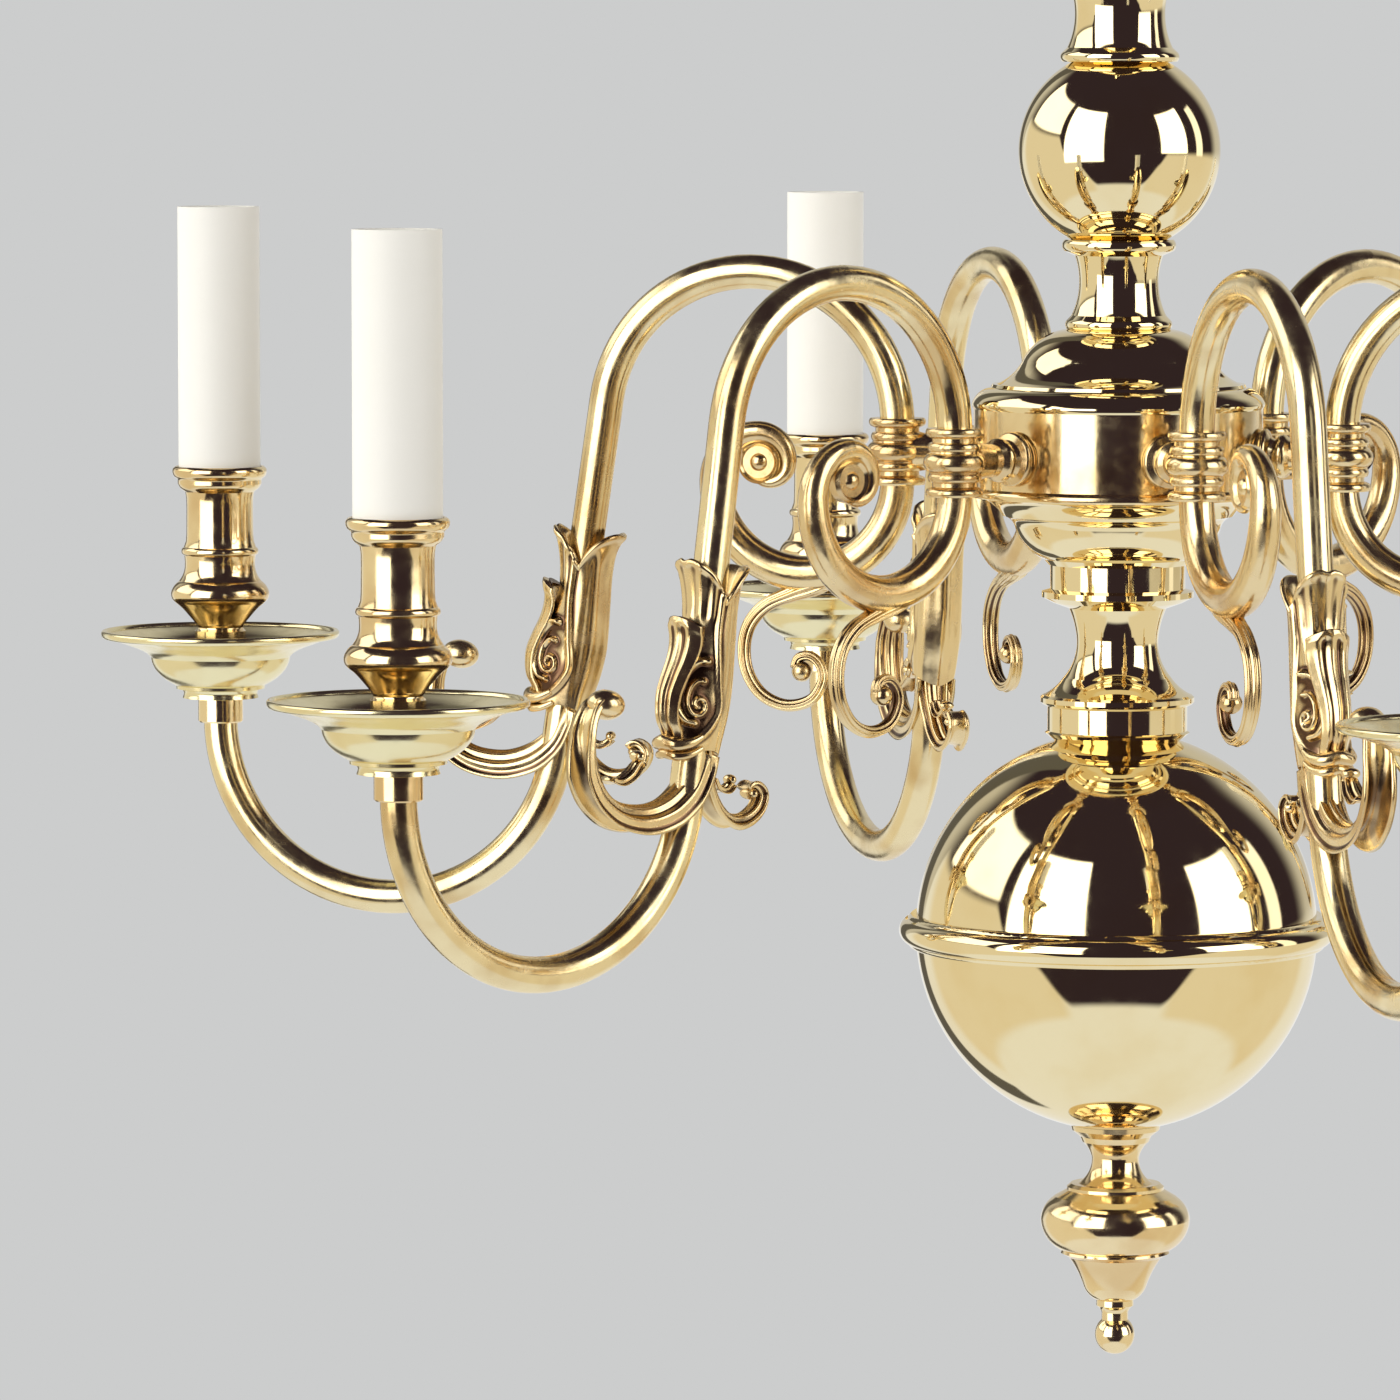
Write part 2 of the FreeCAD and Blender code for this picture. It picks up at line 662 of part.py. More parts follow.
def rod_nuts():
    """Two nuts on the rod: one on the hub's floor and one on the ball collar's underside."""
    floor = bowl_level - bowl_height + hub_wall
    inside_ball = ball_collar_level - collar_height - nut_height
    levels = {"hub_nut": floor, "ball_nut": inside_ball}
    nuts = [hex_nut(name, nut_flats, nut_height, rod_radius,
                    Placement(Vector(0, 0, level.value), Rotation()))
            for name, level in levels.items()]
    return group("rod_nuts", nuts)


def terminal_block():
    """The connector that joins the supply to the arms' wires, inside the hub."""
    block = doc.addObject("Part::Box", "terminal_block")
    block.setExpression("Length", block_length.text)
    block.setExpression("Width", block_width.text)
    block.setExpression("Height", block_height.text)
    near = rod_radius.value + 0.8
    corner = Vector(-block_length.value / 2, near, (arm_level - block_height * 0.5).value)
    swing = Rotation(UP, bush_turn.value - 90)
    block.Placement = Placement(swing.multVec(corner), swing)
    return block


def supply_wire():
    """The wire from the cable bush down the column to the terminal block."""
    wire = new_body("supply_wire")
    inner_place = 7.0
    bend = 12.0
    swing = degrees(acos(1 - (bush_place.value - inner_place) / (2 * bend)))
    start = (bush_place.value, cap_top.value - bush_height.value + 0.6)
    foot = (arm_level + block_height * 0.5).value
    straight = 40.0
    drop = start[1] - straight - 2 * bend * sin(radians(swing)) - foot
    path = route(start, -90.0, [(straight,), (bend, swing), (bend, -swing), (drop,)])
    pipe(wire, "run", path, [wire_radius], "XY_Plane", start[1], (start[0], 0))
    wire.Placement = Placement(Vector(), Rotation(UP, bush_turn.value))
    return wire


# ---------------------------------------------------------------- arms
def limb_lean():
    """The angle between the arm's long limb and the vertical, in degrees: the limb touches the
    arch's circle on one side and the bow's circle on the other."""
    across = candle_place.value - bow_radius.value - collar_place.value - arch_radius.value
    down = arch_level.value - bow_level.value
    reach = sqrt(across * across + down * down)
    apart = arch_radius.value + bow_radius.value
    return degrees(acos(apart / reach) - atan2(down, across))


LEAN = limb_lean()


def arm_route(start_level, end_level):
    """The arm's centre line: up, over the arch, down the limb and round the bow to the candle."""
    lean = radians(LEAN)
    arch = (collar_place + arch_radius, arch_level)
    bow = (candle_place - bow_radius, bow_level)
    limb_top = (arch[0] + arch_radius * cos(lean), arch[1] + arch_radius * sin(lean))
    limb_foot = (bow[0] - bow_radius * cos(lean), bow[1] - bow_radius * sin(lean))
    return [(collar_place, start_level), (collar_place, arch_level),
            (arch[0], arch_level + arch_radius, arch_radius), (*limb_top, arch_radius),
            limb_foot, (bow[0], bow_level - bow_radius, -bow_radius),
            (candle_place, bow_level, -bow_radius), (candle_place, end_level)]


def arm_tube(arm):
    """The arm's bent tube, from inside its collar to the top of its ferrule."""
    tube = new_body(f"arm_tube_{arm}")
    foot = arm_level + root_gap
    path = arm_route(foot, pan_foot_level)
    pipe(tube, "bend", path, [tube_radius, tube_radius - tube_wall], "XY_Plane", foot,
         (collar_place, 0))
    turn_to_arm(tube, arm)
    return tube


def arm_wire(arm):
    """The wire that runs inside the tube, from the hub to the lampholder."""
    wire = new_body(f"arm_wire_{arm}")
    start = drum_radius - 12.0
    corner = 5.5
    path = [(start, arm_level), (collar_place - corner, arm_level),
            (collar_place, arm_level + corner, -corner)]
    path += arm_route(arm_level + corner, pan_foot_level - 1.0)[1:]
    pipe(wire, "run", path, [wire_radius], "YZ_Plane", start, (0, arm_level))
    turn_to_arm(wire, arm)
    return wire


def arm_scroll(arm):
    """The tapering volute under the collar, which coils round a dished eye with a bead in it."""
    scroll = new_body(f"arm_scroll_{arm}")
    first = scroll_radius
    second = scroll_radius * 0.5
    third = 9.5
    fourth = 6.5
    fifth = 5.0
    head = arm_level - root_gap
    centre = collar_place + first
    eye_place = centre + first - second
    eye_height = scroll_level + second - third
    under = (eye_place - third + fourth, eye_height - fourth)
    tip = (under[0] + fifth, under[1] + fifth)
    path = [(collar_place, head), (collar_place, scroll_level),
            (centre, scroll_level - first, -first), (centre + first, scroll_level, -first),
            (eye_place, scroll_level + second, -second), (eye_place - third, eye_height, -third),
            (*under, -fourth), (*tip, -fifth)]
    spine = draw(new_sketch(scroll, "path", "XZ_Plane"), path, closed=False)
    root_end = draw_circles(new_sketch(scroll, "root", "XY_Plane", head), (collar_place, 0),
                            [scroll_root])
    middle = draw_circles(new_sketch(scroll, "middle", "XY_Plane", scroll_level),
                          (centre + first, 0), [scroll_middle])
    tip_end = draw_circles(new_sketch(scroll, "tip", "XY_Plane", tip[1]), (tip[0], 0),
                           [scroll_tip])
    sweep = scroll.newObject("PartDesign::AdditivePipe", f"{scroll.Name}_sweep")
    sweep.Profile = root_end
    sweep.Spine = (spine, [f"Edge{number}" for number in range(1, len(path))])
    sweep.Transformation = "Multisection"
    sweep.Sections = [middle, tip_end]
    scroll.Tip = sweep
    dish = 1.7
    rim = 2.6
    inside = scroll_eye - 1.9
    crest = scroll_eye - 1.0
    corners = [(inside, dish), (crest, rim), (scroll_eye, dish - 0.3)]
    outline = [(eye_place, dish)] + [(eye_place + across, up) for across, up in corners]
    outline += [(eye_place + across, -up) for across, up in reversed(corners)]
    outline.append((eye_place, -dish))
    revolve_upright(scroll, "eye", "XY_Plane", outline, eye_place, eye_height)
    ball(scroll, "eye_bead", eye_bead, (eye_place, eye_height))
    turn_to_arm(scroll, arm)
    return scroll


def arm_tendril(arm):
    """The thin curl that hangs below the volute, ending in a small ball."""
    tendril = new_body(f"arm_tendril_{arm}")
    start = (collar_place.value + scroll_radius.value - 2.5,
             scroll_level.value - scroll_radius.value - 7.7)
    path = route(start, 0.0, [(20.5, 96.0), (14.5, 150.0), (5.5, 170.0)])
    pipe(tendril, "curl", path, [tendril_radius], "YZ_Plane", start[0], (0, start[1]))
    ball(tendril, "bead", tendril_radius * 2.0, path[-1][:2])
    turn_to_arm(tendril, arm)
    return tendril


def arm_collar(arm):
    """The ringed boss round the arm's root, with a rosette that sits on the drum and the spigot
    that goes into it.  It is drawn about the spigot's own level."""
    collar = new_body(f"arm_collar_{arm}")
    seat = drum_radius
    neck_end = collar_place - tube_radius - 0.7
    revolve(collar, "rosette", [
        (seat - 1.5, 0), (seat - 1.5, rosette_radius - 0.6), (seat + 0.3, rosette_radius - 0.6),
        (seat + 2.5, rosette_radius - 0.6, 1.3), (seat + 3.3, 6.2), (seat + 4.8, 5.3),
        (seat + 5.6, 6.4), (seat + 8.4, 6.4, 2.2), (seat + 9.6, 5.2), (seat + 12.0, 5.2),
        (neck_end, 6.4), (neck_end, 0)], "H_Axis")
    saddle = collar.newObject("PartDesign::SubtractiveCylinder", f"{collar.Name}_saddle")
    saddle.setExpression("Radius", drum_radius.text)
    saddle.setExpression("Height", drum_height.text)
    saddle.Placement = Placement(Vector(0, 0, -drum_height.value / 2), Rotation())
    collar.Tip = saddle
    spigot_start = seat - 8.6
    root_end = seat + 2.0
    revolve(collar, "spigot", [
        (spigot_start, 0), (spigot_start, spigot_radius), (root_end, spigot_radius),
        (root_end, 0)], "H_Axis")
    collar_boss(collar)
    bore(collar, "wireway", "YZ_Plane", (0, 0), spigot_bore, collar_place - 2.0, reverse=True)
    turn_to_arm(collar, arm)
    collar.setExpression("Placement.Base.z", arm_level.text)
    return collar


def collar_boss(collar):
    """The stack of rings that the arm's tube stands in, about the tube's own axis: a flange at
    each end, and a fat band between two beads."""
    half = collar_half
    flange = (collar_flange - 0.9, 2.4, 1.7)
    neck_radius = collar_body - 0.9
    upper = [(flange[0], half), (flange[0], half - flange[1], flange[2]),
             (neck_radius, half - 3.1), (neck_radius, half - 4.3), (collar_body, half - 4.6),
             (collar_body, half - 7.2, 1.9), (collar_body + 0.1, half - 7.6)]
    lower = [(collar_body + 0.1, -(half - 7.6), 3.4), (collar_body, -(half - 7.2)),
             (collar_body, -(half - 4.6), 1.9), (neck_radius, -(half - 4.3)),
             (neck_radius, -(half - 3.1)), (flange[0], -(half - flange[1])),
             (flange[0], -half, flange[2])]
    corners = [(tube_radius, half), *upper, *lower, (tube_radius, -half)]
    outline = [(collar_place + corner[0], *corner[1:]) for corner in corners]
    revolve_upright(collar, "boss", "XZ_Plane", outline, collar_place)


def arm_nut(arm):
    """The nut that holds the arm's spigot from inside the drum."""
    angle = arm_turn[arm].value
    corner = nut_flats.value / sqrt(3)
    wall = sqrt(drum_inside.value ** 2 - corner ** 2)
    start = wall - 0.1 - nut_height.value
    swing = Rotation(UP, angle).multiply(Rotation(Vector(0, 1, 0), 90))
    place = Rotation(UP, angle).multVec(Vector(start, 0, arm_level.value))
    return hex_nut(f"arm_nut_{arm}", nut_flats, nut_height, spigot_radius,
                   Placement(place, swing))


def arm_leaf(arm):
    """The cast leaf round the limb: a flared sleeve, an outward spray and an inward spray.
    It is drawn with its own Z up the limb and its own X outward."""
    leaf = new_body(f"arm_leaf_{arm}")
    lip = leaf_length - 6.0
    revolve(leaf, "sleeve", [
        (tube_radius, 0), (leaf_radius - 0.8, 0), (leaf_radius, leaf_length * 0.4),
        (leaf_radius + 0.4, lip), (leaf_flare, leaf_length, -12.0), (tube_radius, leaf_length - 4.0)])
    out_start = (9.3, 6.0)
    out_path = route(out_start, -90.0, [(4.0,), (17.3, -180.0), (3.0,), (6.5, -200.0)])
    pipe(leaf, "outward", out_path, [spray_radius], "XY_Plane", out_start[1], (out_start[0], 0))
    ball(leaf, "outward_bead", spray_radius * 1.25, out_path[-1][:2])
    in_start = (-9.3, 9.0)
    in_path = route(in_start, -90.0, [(3.0,), (18.0, 22.0), (14.0,), (5.5, 190.0)])
    pipe(leaf, "inward", in_path, [spray_radius * 0.85], "XY_Plane", in_start[1],
         (in_start[0], 0))
    ball(leaf, "inward_bead", spray_radius * 1.1, in_path[-1][:2])
    lean = radians(LEAN)
    foot = candle_place.value - bow_radius.value - bow_radius.value * cos(lean)
    rise = leaf_level.value - (bow_level.value - bow_radius.value * sin(lean))
    place = Vector(foot - rise * sin(lean) / cos(lean), 0, leaf_level.value)
    swing = Rotation(UP, arm_turn[arm].value)
    leaf.Placement = Placement(swing.multVec(place),
                               swing.multiply(Rotation(Vector(0, 1, 0), -LEAN)))
    return leaf


# ---------------------------------------------------------------- candle groups
def arm_ferrule(arm):
    """The short ring that joins the arm's tube to its pan."""
    ferrule = new_body(f"arm_ferrule_{arm}")
    edge = 0.5
    revolve(ferrule, "outline", [
        (ferrule_bore, 0), (ferrule_radius - edge, 0), (ferrule_radius, -edge),
        (ferrule_radius, -ferrule_height + edge), (ferrule_radius - edge, -ferrule_height),
        (ferrule_bore, -ferrule_height)])
    stand_at_candle(ferrule, arm, pan_foot_level)
    return ferrule


def drip_pan(arm):
    """A dished pan with a rolled rim, a flat flare and a deep bowl."""
    pan = new_body(f"drip_pan_{arm}")
    roll = 1.25
    rim_top = pan_height
    revolve(pan, "outline", [
        (stem_radius, 0), (pan_foot, 0), (pan_foot + 0.4, 1.4),
        (pan_waist - 0.4, pan_waist_height - 0.6, -15.0), (pan_waist + 1.6, pan_waist_height + 0.6),
        (pan_radius - roll, rim_top - roll * 2, -60.0), (pan_radius - roll, rim_top, -roll * 1.0001),
        (pan_waist + 1.2, pan_waist_height + pan_wall + 0.9, 60.0),
        (pan_waist - pan_wall - 0.8, pan_waist_height - 0.4),
        (pan_foot - 0.6, pan_wall, 14.0), (stem_radius, pan_wall)])
    stand_at_candle(pan, arm, pan_foot_level)
    return pan


def candle_cup(arm):
    """The turned holder that stands in the pan: bulb, barrel and lip, with a socket on top."""
    cup = new_body(f"candle_cup_{arm}")
    top = cup_height
    ledge = top - cup_socket_depth
    revolve(cup, "outline", [
        (stem_radius, 0), (cup_stem + 0.6, 0), (cup_stem, 3.0), (cup_stem, 21.5),
        (cup_bulb - 0.6, 28.6, -14.0), (cup_bulb - 1.6, 34.8, -4.4), (cup_barrel, 37.4),
        (cup_barrel - 0.2, 43.8), (cup_barrel + 0.9, 44.8), (cup_barrel + 0.9, 47.2),
        (cup_barrel, 48.4), (cup_barrel, 62.6), (cup_ring, 64.4), (cup_ring, 66.4),
        (cup_ring - 0.9, 67.2), (cup_lip, 68.6), (cup_lip, top), (cup_socket, top),
        (cup_socket, ledge), (stem_radius, ledge)])
    stand_at_candle(cup, arm, pan_foot_level + pan_wall)
    return cup


ledge_level = pan_foot_level + pan_wall + cup_height - cup_socket_depth
sleeve_foot = ledge_level + seat_gap
sleeve_top = sleeve_foot + sleeve_length


def candle_sleeve(arm):
    """The thin tube that hides the lampholder; it stands in the cup and lifts straight off."""
    sleeve = new_body(f"candle_sleeve_{arm}")
    inner = sleeve_radius - sleeve_wall
    revolve(sleeve, "outline", [
        (inner, 0), (sleeve_radius, 0), (sleeve_radius, sleeve_length), (inner, sleeve_length)])
    stand_at_candle(sleeve, arm, sleeve_foot)
    return sleeve


def lampholder(arm):
    """A candle lampholder: a screw socket on a hollow stem that clamps the cup and the pan."""
    holder = new_body(f"lampholder_{arm}")
    top = sleeve_top - holder_drop - pan_foot_level
    body_foot = top - holder_length
    passage = 2.2
    revolve(holder, "outline", [
        (passage, 0), (stem_radius, 0), (stem_radius, body_foot - 4.0),
        (holder_radius, body_foot), (holder_radius, top), (socket_radius, top),
        (socket_radius, top - socket_depth), (passage, top - socket_depth)])
    stand_at_candle(holder, arm, pan_foot_level)
    return holder


# ---------------------------------------------------------------- build
upper_neck_level = cap_foot
upper_neck_foot_level = upper_neck_level - upper_neck_height
middle_neck_level = upper_neck_foot_level - small_ball_half * 2
dome_level = middle_neck_level - middle_neck_height
drum_level = dome_level - dome_height
bowl_level = drum_level - drum_height
lower_neck_level = bowl_level - bowl_height
ball_collar_level = lower_neck_level - lower_neck_height
big_ball_level = ball_collar_level - collar_height - big_ball_top
spool_level = big_ball_level - big_ball_bottom
bun_level = spool_level - spool_height
bell_level = bun_level - bun_height
drum_inside = drum_radius - hub_wall - 0.8

parts = [
    suspension_ring(), suspension_eye(), top_cap(), cable_bush(),
    neck("upper_neck", upper_neck_level, upper_neck_height, upper_neck_top, upper_neck_waist,
         upper_neck_foot, wide_bore),
    small_ball(),
    neck("middle_neck", middle_neck_level, middle_neck_height, middle_neck_top,
         middle_neck_waist, middle_neck_foot, wire_bore),
    hub_dome(), hub_drum(), hub_bowl(), lower_neck(), ball_collar(),
    ball_half("ball_upper_half", big_ball_top, 1), ball_girdle(),
    ball_half("ball_lower_half", big_ball_bottom, -1),
    bottom_spool(), bottom_bun(), bell_finial(), centre_rod(), rod_nuts(), terminal_block(),
    supply_wire()]
for build_piece in (arm_tube, arm_leaf, drip_pan, candle_cup, candle_sleeve):
    parts += [build_piece(arm) for arm in ARMS]
for label, build_piece in (
        ("arm_collars", arm_collar), ("arm_scrolls", arm_scroll), ("arm_tendrils", arm_tendril),
        ("arm_ferrules", arm_ferrule), ("lampholders", lampholder), ("arm_nuts", arm_nut),
        ("arm_wires", arm_wire)):
    parts.append(group(label, [build_piece(arm) for arm in ARMS]))

doc.recompute()

faults = [f"{item.Label}: {item.State}" for item in doc.Objects
          if "Invalid" in item.State or "Error" in item.State]
faults += [f"{part.Label}: bad shape" for part in parts
           if part.Shape.isNull() or not part.Shape.isValid() or not part.Shape.Solids]
if faults:
    raise SystemExit("\n".join(faults))

os.makedirs("parts", exist_ok=True)
for part in parts:
    part.Shape.exportStep(f"parts/{part.Label}.step")
    box = part.Shape.BoundBox
    print(f"{part.Label:18} solids {len(part.Shape.Solids)}  volume {part.Shape.Volume:10.1f}  "
          f"z {box.ZMin:8.2f} {box.ZMax:8.2f}")
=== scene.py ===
import json
from math import atan, cos, pi, radians, sin

import bpy
import numpy as np
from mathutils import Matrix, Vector


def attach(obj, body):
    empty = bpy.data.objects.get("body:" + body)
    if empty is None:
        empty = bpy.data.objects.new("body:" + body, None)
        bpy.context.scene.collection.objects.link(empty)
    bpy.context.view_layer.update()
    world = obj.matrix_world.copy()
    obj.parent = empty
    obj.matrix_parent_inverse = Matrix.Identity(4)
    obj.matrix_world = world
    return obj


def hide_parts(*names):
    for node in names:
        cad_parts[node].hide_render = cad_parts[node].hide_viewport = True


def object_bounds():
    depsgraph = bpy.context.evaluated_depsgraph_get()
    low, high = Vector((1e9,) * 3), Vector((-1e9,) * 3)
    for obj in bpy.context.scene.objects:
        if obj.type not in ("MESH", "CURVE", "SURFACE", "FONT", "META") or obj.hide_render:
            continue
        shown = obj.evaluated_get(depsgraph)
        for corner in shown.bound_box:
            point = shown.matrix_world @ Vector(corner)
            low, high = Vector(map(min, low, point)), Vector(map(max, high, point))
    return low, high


# A six-arm brass chandelier.  Metres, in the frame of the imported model: +Z up, the origin at the
# hook seat, arm 1 along +X.

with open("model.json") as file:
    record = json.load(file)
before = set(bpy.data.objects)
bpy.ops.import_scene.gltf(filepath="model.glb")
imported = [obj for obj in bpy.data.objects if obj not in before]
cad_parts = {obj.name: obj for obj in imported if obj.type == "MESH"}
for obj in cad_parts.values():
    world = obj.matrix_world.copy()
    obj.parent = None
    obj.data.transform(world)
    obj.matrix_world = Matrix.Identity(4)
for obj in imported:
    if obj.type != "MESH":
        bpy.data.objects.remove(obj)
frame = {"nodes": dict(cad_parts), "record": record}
cad_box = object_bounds()
ARM_TURNS = {1: 0.0, 2: 60.0, 3: 121.8, 4: 180.0, 5: 236.7, 6: 301.4}
ARMS = range(1, 7)
UP = Vector((0, 0, 1))


# ---------------------------------------------------------------- camera
VIEW_TURN = radians(11.7)           # how far the camera stands round from straight in front
CAMERA_REACH = 2.68                 # from the column's axis
CAMERA_LEVEL = -0.0754
AIM_LEFT = 0.132                    # the middle of the picture is left of the column
AIM_LEVEL = -0.2962
HALF_VIEW = atan(700 / 8500)        # half of the frame's width over its focal length
toward_camera = Vector((sin(VIEW_TURN), -cos(VIEW_TURN), 0))
to_right = Vector((cos(VIEW_TURN), sin(VIEW_TURN), 0))


def make_camera():
    data = bpy.data.cameras.new("camera")
    data.angle = 2 * HALF_VIEW
    data.clip_end = 50
    camera = bpy.data.objects.new("camera", data)
    bpy.context.scene.collection.objects.link(camera)
    camera.location = toward_camera * CAMERA_REACH + UP * CAMERA_LEVEL
    aim = to_right * -AIM_LEFT + UP * AIM_LEVEL
    camera.rotation_euler = (aim - camera.location).to_track_quat("-Z", "Y").to_euler()
    bpy.context.scene.camera = camera


make_camera()


# ---------------------------------------------------------------- node helpers
def add(tree, kind, *values, out=0, **settings):
    """Adds a node and returns one of its outputs.  Each value goes to the next input socket: a
    number, a colour or another node's output, or None to leave it alone."""
    made = tree.nodes.new(kind)
    for name, value in settings.items():
        setattr(made, name, value)
    for socket, value in zip(made.inputs, values):
        if isinstance(value, bpy.types.NodeSocket):
            tree.links.new(value, socket)
        elif value is not None:
            socket.default_value = value
    return made.outputs[out]


def calc(tree, operation, *values, clamp=False):
    return add(tree, "ShaderNodeMath", *values, operation=operation, use_clamp=clamp)


def ramp(tree, value, start, end, low=0.0, high=1.0):
    """Low before start, high after end, and a smooth step between."""
    return add(tree, "ShaderNodeMapRange", value, start, end, low, high,
               interpolation_type="SMOOTHSTEP")


def blend(tree, share, first, second):
    """A colour between two colours."""
    mixed = tree.nodes.new("ShaderNodeMix")
    mixed.data_type = "RGBA"
    for socket, value in zip([mixed.inputs[0], mixed.inputs[6], mixed.inputs[7]],
                             [share, first, second]):
        if isinstance(value, bpy.types.NodeSocket):
            tree.links.new(value, socket)
        else:
            socket.default_value = value
    return mixed.outputs[2]


# ---------------------------------------------------------------- studio
BACKDROP = (0.604, 0.610, 0.610, 1)
FLOOR_GLOW = (0.89, 0.93, 1.0, 1)
SIDE_GLOW = (0.83, 0.78, 0.66, 1)
STUDIO_DARK = (0.034, 0.023, 0.034, 1)
PANEL_WHITE = (1.0, 0.985, 0.95, 1)
EDGE = radians(1.2)
# The studio's layout in degrees.  A turn is counted from the camera's side, a height from level.
BACKDROP_TURN = (126, 146)          # the backdrop fades in between these turns
BACKDROP_TOP = (28, 46)             # and out between these heights
FLOOR_TURN = (28, 52)               # between these turns the floor's far edge climbs
FLOOR_TOP = (-37.0, -12.0)
SIDE_STEP_TURN = (48, 58)           # and here a little more
SIDE_STEP = 9.0
LEFT_STEP_TURN = (-142, -70)        # and on the left, more again
LEFT_STEP = 16.0
FLOOR_EDGE = 2.5                    # how soft the floor's far edge is
WARM_TURN = (33, 136)               # the floor glows warm at the sides, down to the low height
WARM_LOW = (-47, -41)
# softboxes round the object, and one black screen: azimuth and elevation in degrees from the
# camera's side, brightness
PANELS = [((-66, -18), (-11, 44), 3.4), ((49, 84), (-2, 38), 3.2), ((-128, -74), (15, 45), 2.0),
          ((99, 110), (-4, 32), 1.5), ((-163, -149), (-42, 55), 0.12)]


def band(tree, angle, low, high, edge=EDGE):
    """One inside low to high, in degrees, and nought outside."""
    rise = ramp(tree, angle, radians(low) - edge, radians(low) + edge)
    fall = ramp(tree, angle, radians(high) - edge, radians(high) + edge, 1.0, 0.0)
    return calc(tree, "MULTIPLY", rise, fall)


def patch(tree, azimuth, elevation, across, up, edge=EDGE):
    return calc(tree, "MULTIPLY", band(tree, azimuth, *across, edge),
                band(tree, elevation, *up, edge))


def make_studio():
    world = bpy.data.worlds.new("studio")
    world.use_nodes = True
    tree = world.node_tree
    tree.nodes.clear()
    direction = add(tree, "ShaderNodeTexCoord")
    toward = add(tree, "ShaderNodeVectorMath", direction, tuple(toward_camera),
                 operation="DOT_PRODUCT", out=1)
    right = add(tree, "ShaderNodeVectorMath", direction, tuple(to_right),
                operation="DOT_PRODUCT", out=1)
    level = add(tree, "ShaderNodeVectorMath", direction, (0, 0, 1),
                operation="DOT_PRODUCT", out=1)
    azimuth = calc(tree, "ARCTAN2", right, toward)
    elevation = calc(tree, "ARCSINE", level)
    turned = calc(tree, "ABSOLUTE", azimuth)

    # the backdrop behind the object, the floor below it and the dark room in front
    behind = ramp(tree, turned, *map(radians, BACKDROP_TURN))
    low_sky = ramp(tree, elevation, *map(radians, BACKDROP_TOP), 1.0, 0.0)
    colour = blend(tree, calc(tree, "MULTIPLY", behind, low_sky), STUDIO_DARK, BACKDROP)
    floor_top = calc(tree, "ADD", ramp(tree, turned, *map(radians, FLOOR_TURN), *FLOOR_TOP),
                     ramp(tree, turned, *map(radians, SIDE_STEP_TURN), 0.0, SIDE_STEP))
    left_rise = calc(tree, "MULTIPLY", band(tree, azimuth, *LEFT_STEP_TURN, radians(6)), LEFT_STEP)
    floor_top = calc(tree, "ADD", floor_top, left_rise)
    above = calc(tree, "SUBTRACT", elevation, calc(tree, "MULTIPLY", floor_top, radians(1.0)))
    floor = ramp(tree, above, -radians(FLOOR_EDGE), radians(FLOOR_EDGE), 1.0, 0.0)
    low = ramp(tree, elevation, *map(radians, WARM_LOW))
    beside = band(tree, turned, *WARM_TURN, radians(5))
    glow = blend(tree, calc(tree, "MULTIPLY", low, beside), FLOOR_GLOW, SIDE_GLOW)
    colour = blend(tree, floor, colour, glow)
    for across, up, strength in PANELS:
        glow = tuple(part * strength for part in PANEL_WHITE[:3]) + (1,)
        colour = blend(tree, patch(tree, azimuth, elevation, across, up), colour, glow)

    seen = add(tree, "ShaderNodeLightPath")
    colour = blend(tree, seen, colour, BACKDROP)
    shine = add(tree, "ShaderNodeBackground", colour)
    output = tree.nodes.new("ShaderNodeOutputWorld")
    tree.links.new(shine, output.inputs[0])
    bpy.context.scene.world = world
    bpy.context.scene.view_settings.view_transform = "Standard"


make_studio()


# ---------------------------------------------------------------- materials
def new_material(name):
    material = bpy.data.materials.new(name)
    material.use_nodes = True
    tree = material.node_tree
    shader = next(node for node in tree.nodes if node.type == "BSDF_PRINCIPLED")
    place = add(tree, "ShaderNodeTexCoord", out=3)
    return material, tree, shader, place


def noise(tree, place, scale, detail=3.0, rough=0.5):
    return add(tree, "ShaderNodeTexNoise", place, None, scale, detail, rough)


DRIFT_SCALE = 38.0                  # noise scales, per metre
SMEAR_SCALE = 160.0
MOTTLE_SCALE = 60.0
GRAIN_SCALE = 900.0
BUMP_DEPTH = 0.0005


def brass(name, bright, dull, rough, rough_spread, wave, wave_scale, hollow=None):
    """Polished brass: slow colour drift, faint smears in the gloss and a slightly wavy surface.
    A casting gets painted shade in its hollows: its colour darkens towards a shade colour where the
    surface sinks below a smoothed copy of itself."""
    material, tree, shader, place = new_material(name)
    drift = ramp(tree, noise(tree, place, DRIFT_SCALE), 0.42, 0.72)
    colour = blend(tree, drift, bright, dull)
    # painted shade: the base colour is blended towards the hollow colour by how deep the surface
    # lies in a hollow
    if hollow:
        recess_shade = add(tree, "ShaderNodeAttribute", out=2, attribute_name="recess_shade")
        colour = blend(tree, ramp(tree, recess_shade, 0.0, 0.75, 0.0, 0.95), colour, hollow)
    tree.links.new(colour, shader.inputs["Base Color"])
    smear = noise(tree, place, SMEAR_SCALE, 4.0, 0.6)
    tree.links.new(ramp(tree, smear, 0.35, 0.75, rough, rough + rough_spread),
                   shader.inputs["Roughness"])
    bump = add(tree, "ShaderNodeBump", wave, BUMP_DEPTH, None,
               noise(tree, place, wave_scale, 2.0))
    tree.links.new(bump, shader.inputs["Normal"])
    shader.inputs["Metallic"].default_value = 1.0
    shader.inputs["Specular Tint"].default_value = (1.0, 0.97, 0.91, 1)
    return material


